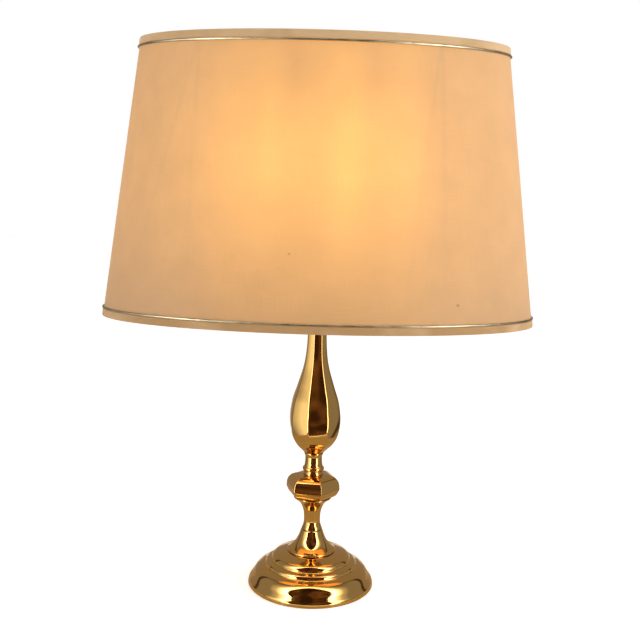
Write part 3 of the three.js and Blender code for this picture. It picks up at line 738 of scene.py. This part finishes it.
def oval(height, offset):
    """Half-width and half-depth of the shade's outside at a height, moved out by an offset."""
    t = (height - SHADE_BOTTOM) / (SHADE_TOP - SHADE_BOTTOM)
    return (
        (BOTTOM_WIDTH + (TOP_WIDTH - BOTTOM_WIDTH) * t) / 2 + offset,
        (BOTTOM_DEPTH + (TOP_DEPTH - BOTTOM_DEPTH) * t) / 2 + offset,
    )


hub = bored(near(HUB_RADIUS, HUB_BASE, (0, 0), (0, PLATE_THICKNESS)))
piece("hub_pressed_steel", "shade", turned(eased(hub, 0.5)), zinc, ["carrier_hub"])
hoop_a, hoop_b = oval(hoop_levels["top"], HOOP_OFFSET)
top_angle = math.radians(ARM_ANGLE)
for x, y, name in (
    (-1, -1, "front_left"), (1, -1, "front_right"), (-1, 1, "back_left"), (1, 1, "back_right"),
):
    level = HUB_BASE + 1
    out = Vector((x * ARM_ELBOW[0], y * ARM_ELBOW[1], 0))
    start = out.normalized() * (HUB_RADIUS + ARM_WIRE * 0.2 + GAP)
    carrier = bent(
        9,
        (start.x, start.y, level), (out.x, out.y, level),
        (x * ARM_KNEE[0], y * ARM_KNEE[1], level + 1),
        (
            x * hoop_a * math.sin(top_angle), y * hoop_b * math.cos(top_angle),
            hoop_levels["top"] - HOOP_WIRE - GAP - 0.5,
        ),
    )
    wire = tube(carrier, ARM_WIRE, 14)
    piece(f"carrier_wire_{name}", "shade", wire, zinc, [f"carrier_arm_{name}"])
for edge, level in hoop_levels.items():
    a, b = oval(level, HOOP_OFFSET)
    ring = [Vector((a * math.cos(t), b * math.sin(t), level)) for t in all_round(HOOP_STEPS)]
    wire = tube(ring, HOOP_WIRE, 12, closed=True)
    piece(f"hoop_wire_{edge}", "shade", wire, zinc, [f"hoop_{edge}"])

# ---- Shade cover ----
# Fine slub-woven fabric laminated on a stiff translucent backing, rolled to an oval taper and
# lapped at the back. The light of both bulbs comes through it, with soft shadows of the arms.

COVER_LOW = SHADE_BOTTOM + TAPE + GAP
COVER_HIGH = SHADE_TOP - TAPE - GAP
AROUND, UP, UP_INSIDE = 720, 60, 20
LAP_WIDTH = 10.0
LAP_THICKNESS = 0.35
turns = all_round(AROUND) + math.pi / 2


def cover_rows(rows, offset):
    """Points of the cover's skin, row by row from the bottom."""
    found = []
    for level in np.linspace(COVER_LOW, COVER_HIGH, rows + 1):
        a, b = oval(level, offset)
        found.append(np.column_stack([a * np.cos(turns), b * np.sin(turns), turns * 0 + level]))
    return found


skin = cover_rows(UP, 0) + cover_rows(UP_INSIDE, -COVER)[::-1]
cover_verts = np.vstack(skin)
lap = (np.abs(cover_verts[:, 0]) < LAP_WIDTH / 2) & (cover_verts[:, 1] > 0)
lap[(UP + 1) * AROUND :] = False
cover_faces = quads(len(skin), AROUND)
cover_verts[lap, 1] += LAP_THICKNESS


def light_through(points):
    """Strength of the bulbs' light at each point of the cloth, the same at the front and the back.

    A wide cloud of light, steeper past the right bulb, carries brighter and dimmer soft spots.
    """
    x, z = points[:, 0], points[:, 2]
    up = (z - 430) / 140
    side = x + 6
    steep = np.where(side < 0, 5.3, 10.5)
    fades_up = 1 + ((z - 451.6) / 86.8) ** 2
    fades_aside = 1 + (np.abs(side) / (105.7 - 4.7 * up)) ** steep
    cloud = 0.456 / fades_up / fades_aside
    found = 0.352 + 0.047 * up - 0.095 * up**2 + 0.02 * x / 200 + cloud
    # A brighter column before each bulb and a paler right side, then dimmer places between and
    # beside the bulbs and low down: strength, then middle and width across, and up.
    for strength, across, wide, height, tall in (
        (0.095, -49.5, 10.8, 460, 62.7),
        (0.171, 22.3, 17.9, 460, 87.8),
        (0.045, 134, 27, 0, math.inf),
        (-0.07, -27, 9, 525, 36),
        (-0.06, 46, 10, 535, 30),
        (-0.048, 0, math.inf, SHADE_BOTTOM, 60),
    ):
        off = ((x - across) / wide) ** 2 + ((z - height) / tall) ** 2
        found = found + strength * np.exp(-off)
    return found


def arm_shadows(points):
    """What is left of the light past the soft double shadow of each arm, below the top hoop.

    Each starts at a place along the hoop, and leans aside by so much for each millimetre down.
    """
    left_of = 1.0
    for start, lean in ((-117.0, 0.04), (-117.0, -0.2), (109.0, -0.185), (109.0, -0.03)):
        below = np.maximum(COVER_HIGH - points[:, 2], 0)
        taper = (BOTTOM_WIDTH - TOP_WIDTH) / TOP_WIDTH / (SHADE_TOP - SHADE_BOTTOM)
        line = start * (1 + taper * below) + lean * below
        width = 1.7 + 2.5 * below / 220
        depth = 0.11 * np.clip(1 - below / 320, 0, 1)
        left_of = left_of * (1 - depth * np.exp(-(((points[:, 0] - line) / width) ** 2)))
    return left_of


glow = light_through(cover_verts) * arm_shadows(cover_verts)

# The weave: cream viscose with thick places in the yarn, on yellowed styrene. The bulbs' light
# comes through as orange, and the room's light falls on it as cream. Yarns are 0.45 mm apart,
# drawn as 0.9 mm to show.
cloth, cloth_tree, cloth_shader = surface(
    "slub_viscose_on_styrene", "#BC9A78", Roughness=0.55, Sheen_Weight=0.15,
    Emission_Color=(1.0, 0.43, 0.06, 1),
)
cloth_uv = add(cloth_tree, "UVMap", {"uv_map": "cloth"})
YARN = 0.0009
SLUB_LENGTH = 0.022
cloud = add(cloth_tree, "TexNoise", Vector=cloth_uv, Scale=28.0, Detail=5.0)
yarns = 0.0
for across, along in ((YARN, SLUB_LENGTH), (SLUB_LENGTH, YARN)):
    one_way = add(cloth_tree, "Mapping", Vector=cloth_uv, Scale=(1 / across, 1 / along, 1))
    threads = add(cloth_tree, "TexNoise", Vector=one_way, Scale=1.0, Detail=2.0)
    yarns = add(cloth_tree, "Math", "ADD", yarns, threads)
cloth_depth = add(cloth_tree, "MapRange", {}, yarns, 0.7, 1.3, 0.975, 1.025)
cloudy = add(cloth_tree, "MapRange", {}, cloud, 0.3, 0.7, 0.962, 1.038)
density = add(cloth_tree, "Math", "MULTIPLY", cloth_depth, cloudy)
# Two dark slubs and three old water marks by the lower edge: place round and up, size and depth.
for round_place, up_place, size, left_over in (
    (0.5171, 0.3648, 0.0014, 0.7),
    (0.6525, 0.3187, 0.0018, 0.6),
    (0.4047, 0.299, 0.006, 0.92),
    (0.5904, 0.297, 0.007, 0.91),
    (0.63, 0.2985, 0.006, 0.93),
):
    from_mark = add(cloth_tree, "VectorMath", "DISTANCE", cloth_uv, (round_place, up_place, 0))
    kept = add(
        cloth_tree, "MapRange", {}, from_mark.outputs["Value"], size * 0.4, size, left_over, 1.0
    )
    density = add(cloth_tree, "Math", "MULTIPLY", density, kept)
add(
    cloth_tree, "VectorMath", "SCALE", linear("#BC9A78")[:3], Scale=density,
    to=cloth_shader.inputs["Base Color"],
)
cloth_light = add(cloth_tree, "Attribute", {"attribute_name": "glow"})
add(
    cloth_tree, "Math", "MULTIPLY", cloth_light.outputs["Fac"], density,
    to=cloth_shader.inputs["Emission Strength"],
)
add(
    cloth_tree, "Bump", Height=yarns, Strength=0.2, Distance=0.0002,
    to=cloth_shader.inputs["Normal"],
)

# The inside of the backing, yellowed styrene, which the bulbs light directly.
backing, backing_tree, backing_shader = surface(
    "yellowed_styrene_backing", "#D9BE93", Roughness=0.5, Emission_Color=(1.0, 0.5, 0.13, 1)
)
backing_light = add(backing_tree, "Attribute", {"attribute_name": "glow"})
add(
    backing_tree, "Math", "MULTIPLY_ADD", backing_light.outputs["Fac"], 1.6, 0.1,
    to=backing_shader.inputs["Emission Strength"],
)

cover = piece(
    "shade_laminated_cloth", "shade", (cover_verts * MM, cover_faces), cloth,
    ["shade_cover"],
)
cover.data.materials.append(backing)
placed = np.array([v.co[:] for v in cover.data.vertices]) / MM
shine = cover.data.attributes.new("glow", "FLOAT", "POINT")
shine.data.foreach_set("value", glow)
cloth_map = cover.data.uv_layers.new(name="cloth")
CLOTH_GIRTH = 1.08
for polygon in cover.data.polygons:
    middle = np.mean([placed[v] for v in polygon.vertices], axis=0)
    a, b = oval(middle[2], 0)
    face_turn = (math.atan2(middle[1] / b, middle[0] / a) - math.pi / 2) % math.tau
    inner = (middle[0] / a) ** 2 + (middle[1] / b) ** 2 < ((a - COVER / 2) / a) ** 2
    polygon.material_index = 1 if inner else 0
    for corner in polygon.loop_indices:
        x, y, z = placed[cover.data.loops[corner].vertex_index]
        turn = (math.atan2(y / b, x / a) - math.pi / 2) % math.tau
        # The last faces before the seam end a full turn round, not at its start.
        if turn < 0.1 and face_turn > 3:
            turn += math.tau
        cloth_map.data[corner].uv = (turn / math.tau * CLOTH_GIRTH, z * MM)

# ---- Edge tapes ----
# Bias-cut cotton tape, folded over each edge of the cover and glued: 7.6 mm shows outside, and
# the rest turns in round the hoop.

TAPE_WIDTH = 7.6
TAPE_LIP = HOOP_OFFSET - HOOP_WIRE - 0.6
EDGE_STEPS = 300
EDGES = (("top", SHADE_TOP, -1), ("bottom", SHADE_BOTTOM, 1))


def round_the_oval(section):
    """Vertices and faces of a closed section of (offset, height) points carried round the shade."""
    verts = []
    for turn in all_round(EDGE_STEPS):
        for offset, height in section:
            a, b = oval(height, offset)
            verts.append((a * math.cos(turn) * MM, b * math.sin(turn) * MM, height * MM))
    return verts, quads(EDGE_STEPS, len(section))


# The tape's faint glow is painted light: the lamp's light that shows through it.
tape, tape_tree, tape_shader = surface(
    "bias_cut_cotton_tape", "#C6A375", Roughness=0.7, Sheen_Weight=0.2,
    Emission_Color=(1.0, 0.5, 0.15, 1), Emission_Strength=0.12,
)
tape_place = add(tape_tree, "TexCoord")
tape_shades = add(
    tape_tree, "TexNoise", Vector=tape_place.outputs["Object"], Scale=26.0, Detail=2.0
)
# The tape is painted darker towards the bottom and lighter at the top: dirt on the lower tape, and
# painted shade where less of the lamp's light shows in it.
tape_parts = add(tape_tree, "SeparateXYZ", Vector=tape_place.outputs["Object"])
tape_dirt_and_shade = add(
    tape_tree, "MapRange", {}, tape_parts.outputs["Z"], SHADE_BOTTOM * MM, SHADE_TOP * MM, -0.2, 0.2
)
tape_mix = add(tape_tree, "Math", "ADD", tape_shades, tape_dirt_and_shade)
tape_tone = add(tape_tree, "ValToRGB", Fac=tape_mix, to=tape_shader.inputs["Base Color"])
for stop, place, tone in zip(tape_tone.color_ramp.elements, (0.3, 0.7), ("#B18C60", "#D8B78C")):
    stop.position, stop.color = place, linear(tone)
# Its threads lie 0.4 mm apart.
grained(tape_tree, tape_shader, 2500.0, 1.0, 0.25, 0.0001)
for edge, level, inward in EDGES:
    out, fold, far = GAP + TAPE, level + inward * TAPE, level + inward * TAPE_WIDTH
    section = [
        (out, level), (out, far), (GAP, far), (GAP, fold), (TAPE_LIP + TAPE, fold),
        (TAPE_LIP + TAPE, far), (TAPE_LIP, far), (TAPE_LIP, level),
    ]
    piece(
        f"edge_tape_folded_{edge}",
        "shade",
        round_the_oval(eased(section, 1.4)),
        tape,
        [f"edge_tape_{edge}"],
        sharp=60,
    )

# ---- Metallic cords ----
# A round cotton cord closely wound with silver-gilt foil thread, glued beside each tape. Its
# three plies show only as shallow twisted ridges, so it shines almost like a drawn wire.

CORD_RADIUS = 1.15
RIDGE = 0.035
PLIES = 3
TWIST = 6.0
PRESSED_IN = 0.3  # the glued cord sinks into the cloth by this
PATH_SPOTS = 360
CORD_SIDES = 12
STEPS_EACH_TWIST = 12
foil, foil_tree, foil_shader = surface(
    "silver_gilt_foil_thread", "#B8B19A", Metallic=1.0, Roughness=0.32
)
foil_place = add(foil_tree, "TexCoord")
foil_wear = add(foil_tree, "TexNoise", Vector=foil_place.outputs["Object"], Scale=60.0, Detail=3.0)
foil_tone = add(foil_tree, "ValToRGB", Fac=foil_wear, to=foil_shader.inputs["Base Color"])
for stop, place, tone in zip(foil_tone.color_ramp.elements, (0.35, 0.65), ("#A39A82", "#CAC4AF")):
    stop.position, stop.color = place, linear(tone)
# The foil turns lie 0.25 mm apart, drawn as 0.8 mm.
grained(foil_tree, foil_shader, 1250.0, 1.0, 0.2, 0.0001)

cord_tree = bpy.data.node_groups.new("wound cord", "GeometryNodeTree")
cord_face = cord_tree.interface
cord_face.new_socket("Path", in_out="INPUT", socket_type="NodeSocketGeometry")
cord_inputs = {
    label: cord_face.new_socket(label, in_out="INPUT", socket_type=kind).identifier
    for label, kind in (("Turns", "NodeSocketFloat"), ("Points", "NodeSocketInt"))
}
cord_face.new_socket("Cord", in_out="OUTPUT", socket_type="NodeSocketGeometry")
cord_in = cord_tree.nodes.new("NodeGroupInput")
resampled = add(
    cord_tree, "ResampleCurve", Curve=cord_in.outputs["Path"], Count=cord_in.outputs["Points"]
)
upright = add(cord_tree, "SetCurveNormal", {"mode": "Z_UP"}, Curve=resampled)
part_of_curve = add(cord_tree, "SplineParameter")
along_path = add(
    cord_tree, "StoreNamedAttribute", Geometry=upright, Name="along",
    Value=part_of_curve.outputs["Factor"],
)
ring = add(
    cord_tree, "CurvePrimitiveCircle", Resolution=CORD_SIDES, Radius=(CORD_RADIUS - RIDGE) * MM
)
round_ring = add(
    cord_tree, "StoreNamedAttribute", Geometry=ring, Name="around",
    Value=part_of_curve.outputs["Factor"],
)
drawn = add(cord_tree, "CurveToMesh", Curve=along_path, Profile_Curve=round_ring)
along = add(cord_tree, "InputNamedAttribute", Name="along")
around = add(cord_tree, "InputNamedAttribute", Name="around")
twisted_by = add(cord_tree, "Math", "MULTIPLY", along, cord_in.outputs["Turns"])
ply_place = add(cord_tree, "Math", "ADD", around, twisted_by)
ply_angle = add(cord_tree, "Math", "MULTIPLY", ply_place, math.tau * PLIES)
ply_wave = add(cord_tree, "Math", "COSINE", ply_angle)
raised = add(cord_tree, "Math", "MULTIPLY", ply_wave, RIDGE * MM)
outwards = add(cord_tree, "InputNormal")
lifted = add(cord_tree, "VectorMath", "SCALE", outwards, Scale=raised)
ridged = add(cord_tree, "SetPosition", Geometry=drawn, Offset=lifted)
realized = add(cord_tree, "RealizeInstances", Geometry=ridged)
wound = add(cord_tree, "SetMaterial", Geometry=realized, Material=foil)
cord_out = cord_tree.nodes.new("NodeGroupOutput")
cord_tree.links.new(wound.outputs[0], cord_out.inputs[0])

for edge, level, inward in EDGES:
    height = level + inward * (TAPE_WIDTH + GAP + CORD_RADIUS)
    a, b = oval(height, CORD_RADIUS - PRESSED_IN)
    path = bpy.data.curves.new("cord path", "CURVE")
    path.dimensions = "3D"
    spline = path.splines.new("POLY")
    spline.points.add(PATH_SPOTS - 1)
    spots = [
        (a * math.cos(turn) * MM, b * math.sin(turn) * MM, height * MM, 1)
        for turn in all_round(PATH_SPOTS)
    ]
    for spot, point in zip(spots, spline.points):
        point.co = spot
    spline.use_cyclic_u = True
    length = sum(math.dist(p[:3], q[:3]) for p, q in zip(spots, spots[1:] + spots[:1]))
    turns_round = round(length / (TWIST * MM))
    holder = in_scene("cord path", path)
    maker = holder.modifiers.new("wound cord", "NODES")
    maker.node_group = cord_tree
    maker[cord_inputs["Turns"]] = float(turns_round)
    maker[cord_inputs["Points"]] = turns_round * STEPS_EACH_TWIST
    mesh = worked_out(holder)
    bpy.data.objects.remove(holder)
    bpy.data.curves.remove(path)
    mesh.shade_smooth()
    trim = in_scene(f"trim_cord_wound_{edge}", mesh)
    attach(trim, "shade")
    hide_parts(f"trim_cord_{edge}")

# ---- Thumb nut ----
# A turned brass nut with a knurled collar, which holds the shade's hub down on its seat.

FINIAL_BASE = HUB_BASE + PLATE_THICKNESS + GAP
FINIAL_RADIUS = 9.0
KNURLS = 40
finial_outside = [
    (ROD_HOLE, FINIAL_BASE),
    *near(FINIAL_RADIUS, FINIAL_BASE, (-0.8, 0), (0, 0.8), (0, 3), (0, 5.2), (-0.8, 6), (-2, 7)),
]
finial_ball = smooth(
    24,
    *near(FINIAL_RADIUS, FINIAL_BASE, (-5, 8.4), (-2.6, 11), (-2.6, 14.2)), (0, FINIAL_BASE + 18),
)
finial_ball[-1] = (0, FINIAL_BASE + 18)


def knurled(radius, angles):
    """Grooves round the collar, which is the widest part of the nut."""
    if radius < FINIAL_RADIUS - 0.1:
        return radius + angles * 0
    return radius - 0.25 * (1 - np.cos(angles * KNURLS))


piece(
    "finial_knurled_brass",
    "thumb_nut",
    turned(
        [(0, STUB_TOP + GAP), (ROD_HOLE, STUB_TOP + GAP), *finial_outside, *finial_ball],
        all_round(KNURLS * 6), knurled,
    ),
    brass,
    ["finial"],
    sharp=50,
)

# ---- Studio ----
# A pale floor that runs into a white background. The polished brass sees the room: a dark doorway
# in front with bright light all round it, grey walls further off, and the table, whose warm
# tone is partly painted lamp light.

FLOOR_REACH = 6.0
FLOOR_LIFT = 0.54  # light of its own to the camera, so that it runs into the background
LEFT, RIGHT, FRONT, BACK = -0.26, 0.26, -0.225, 0.5  # edges of the table
floor_finish, floor_tree, floor_shader = surface(
    "matt_white_floor", "#F4F3F1", Roughness=0.9, Emission_Color=(1, 1, 1, 1)
)
floor_path = add(floor_tree, "LightPath")
add(
    floor_tree, "Math", "MULTIPLY", floor_path.outputs["Is Camera Ray"], FLOOR_LIFT,
    to=floor_shader.inputs["Emission Strength"],
)


def stage_card(name, low, high, finish):
    """A flat stage piece between two opposite corners, level or upright."""
    (left, front, base), (right, back, top) = low, high
    corners = [(left, front, base), (right, front, base), (right, back, top), (left, back, top)]
    mesh = bpy.data.meshes.new(name)
    mesh.from_pydata(corners, [], [(0, 1, 2, 3)])
    mesh.materials.append(finish)
    made = in_scene(name, mesh)
    return made


floor = stage_card(
    "floor", (-FLOOR_REACH, -FLOOR_REACH, 0), (FLOOR_REACH, FLOOR_REACH, 0), floor_finish
)
floor.visible_glossy = False
# The table is seen only in the brass. Its warm tone is partly its own and partly painted light, the
# lamp's warm glow on it.
table_finish, _, _ = surface("pale_table_with_painted_lamp_glow", "#FCE2B4", Roughness=0.6)
table_top = stage_card(
    "table_top_in_the_brass", (LEFT, FRONT, 0), (RIGHT, BACK, 0), table_finish
)
# The table's front edge glows: a painted bright edge, which shows only in the brass.
edge_finish, _, _ = surface(
    "lit_table_edge", "#F4F3F1", Roughness=0.9, Emission_Color=(1, 0.97, 0.9, 1),
    Emission_Strength=1.5,
)
EDGE_HEIGHT = 0.007
table_edge = stage_card(
    "table_edge_in_the_brass", (LEFT, FRONT, 0), (RIGHT, FRONT, EDGE_HEIGHT), edge_finish
)
for card in (table_top, table_edge):
    card.visible_camera = False
    card.visible_diffuse = False
    card.visible_shadow = False

# Directions as the brass sees them, in degrees: round from the front, and up.
world = bpy.data.worlds.new("studio")
scene.world = world
world.use_nodes = True
sky = world.node_tree
sky.nodes.clear()
way = add(sky, "TexCoord")
parts = add(sky, "SeparateXYZ", Vector=way.outputs["Generated"])
towards_front = add(sky, "Math", "MULTIPLY", parts.outputs["Y"], -1.0)
round_angle = add(sky, "Math", "ARCTAN2", parts.outputs["X"], towards_front)
degrees = add(sky, "Math", "DEGREES", round_angle)
either_way = add(sky, "Math", "ABSOLUTE", degrees)
elevation = add(sky, "Math", "DEGREES", add(sky, "Math", "ARCSINE", parts.outputs["Z"]))
# The doorway widens upwards, and again a little below eye level. Its top is half an ellipse.
DOOR_HALF_WIDTH, DOOR_SHOULDER, DOOR_ARCH = 46, 17, 51
door_half_width = add(
    sky, "Math", "ADD", add(sky, "MapRange", {}, elevation, 0, 22, 33, DOOR_HALF_WIDTH),
    add(sky, "MapRange", {}, elevation, -5, -1, 5, 0),
)
aside = add(sky, "Math", "DIVIDE", either_way, door_half_width)
over_frame = add(sky, "Math", "MAXIMUM", add(sky, "Math", "SUBTRACT", elevation, DOOR_SHOULDER), 0)
above = add(sky, "Math", "DIVIDE", over_frame, DOOR_ARCH)
from_middle = add(sky, "CombineXYZ", X=aside, Y=above)
reach = add(sky, "VectorMath", "LENGTH", from_middle)
# How many degrees a direction lies outside the doorway, a little fewer on the left.
past_door = add(
    sky, "Math", "MULTIPLY", add(sky, "Math", "SUBTRACT", reach.outputs["Value"], 1),
    add(sky, "MapRange", {}, degrees, -20, 20, 0.95 * DOOR_HALF_WIDTH, DOOR_HALF_WIDTH),
)
# The wall's shades by those degrees, in parts of the brightest, and a dimmer ceiling.
BRIGHTEST = 8.0
NEAREST, FURTHEST = -2, 48
surround = add(sky, "ValToRGB", Fac=add(sky, "MapRange", {}, past_door, NEAREST, FURTHEST))
shades = (
    (0, (0.05, 0.024, 0.013)), (2.5, (8, 7.8, 7.2)), (9, (8, 7.8, 7.2)), (16, (2.4, 2.35, 2.2)),
    (25, (0.8, 0.78, 0.76)), (38, (0.34, 0.33, 0.33)),
)
ramp = surround.color_ramp.elements
for number, (degrees_past, shade) in enumerate(shades):
    stop = ramp[number] if number < 2 else ramp.new(0.99)
    stop.position = (degrees_past - NEAREST) / (FURTHEST - NEAREST)
    stop.color = [value / BRIGHTEST for value in shade] + [1]
ceiling_share = add(sky, "MapRange", {}, elevation, 35, 60, BRIGHTEST, 0.45 * BRIGHTEST)
room = add(sky, "VectorMath", "SCALE", surround, Scale=ceiling_share).outputs[0]
in_doorway = add(sky, "TexNoise", Vector=way.outputs["Generated"], Scale=3.2, Detail=1.0)
rays = add(sky, "LightPath")
mirrored = add(
    sky, "Math", "MAXIMUM", rays.outputs["Is Glossy Ray"], rays.outputs["Is Transmission Ray"]
)
ROOM_LIGHT = 0.53
# Laid over it, one after another: a colour, and the ranges over which it comes in.
for colour, *ranges in (
    # A second, dimmer window far to the left, at the height of the stem.
    (
        (1.5, 1.55, 1.6),
        (degrees, -50, -56, 0, 1), (degrees, -86, -70, 0, 1), (elevation, 8, 26, 1, 0),
    ),
    # What is past the room's far corners is warmer, and the corners are a thin dark line.
    ((0.35, 0.3, 0.25), (either_way, 118, 122, 0, 1)),
    ((0.07, 0.05, 0.03), (either_way, 113, 116, 0, 1), (either_way, 123, 120, 0, 1)),
    # Dim brown things stand in the doorway.
    ((0.2, 0.095, 0.045), (in_doorway, 0.42, 0.68, 0, 1), (past_door, -8, -3, 1, 0)),
    # The white backdrop stands low behind the lamp.
    ((1, 1, 1), (either_way, 160, 162, 0, 1), (elevation, 3, 5, 1, 0)),
    # Only brass and glass see the room. It lights the rest evenly, and the camera sees white.
    ((ROOM_LIGHT, ROOM_LIGHT, ROOM_LIGHT), (mirrored, 0, 1, 1, 0)),
    ((1, 1, 1), (rays.outputs["Is Camera Ray"], 0, 1, 0, 1)),
):
    share = 1.0
    for given in ranges:
        share = add(sky, "Math", "MULTIPLY", share, add(sky, "MapRange", {}, *given))
    room = add(
        sky, "Mix", {"data_type": "RGBA"}, Factor=share, n6=room, n7=(*colour, 1)
    ).outputs[2]
add(sky, "OutputWorld", Surface=add(sky, "Background", Color=room, Strength=1.0))

# Two soft windows that light the floor and the cloth; the brass does not see them.
for name, place, energy in (
    ("soft_window_right", (2.0, -0.35, 0.9), 22.0),
    ("soft_window_left", (-2.0, -0.35, 0.9), 7.0),
):
    window = bpy.data.lights.new(name, "AREA")
    window.shape = "RECTANGLE"
    window.size = 1.2
    window.size_y = 1.6
    window.energy = energy
    lamp = in_scene(name, window)
    lamp.location = place
    lamp.rotation_euler = (Vector((0, 0, 0.4)) - lamp.location).to_track_quat("-Z", "Y").to_euler()
    lamp.visible_glossy = False

# ---- Camera ----
# Just above the table and a little above the shade's lower edge, turned by a small roll.

CAMERA_PLACE = (0, -0.956, 0.426)
PITCH = 8.14  # degrees
YAW, ROLL = 0.0027, 0.0285  # radians
FOCAL_PIXELS, IMAGE_PIXELS = 919.7, 640
camera_data = bpy.data.cameras.new("camera")
camera_data.sensor_width = 36
camera_data.lens = FOCAL_PIXELS / IMAGE_PIXELS * camera_data.sensor_width
camera = in_scene("camera", camera_data)
camera.matrix_world = (
    Matrix.Translation(CAMERA_PLACE)
    @ Matrix.Rotation(-YAW, 4, "Z")
    @ Matrix.Rotation(math.radians(90 - PITCH), 4, "X")
    @ Matrix.Rotation(ROLL, 4, "Z")
)
scene.camera = camera
scene.view_settings.view_transform = "Standard"
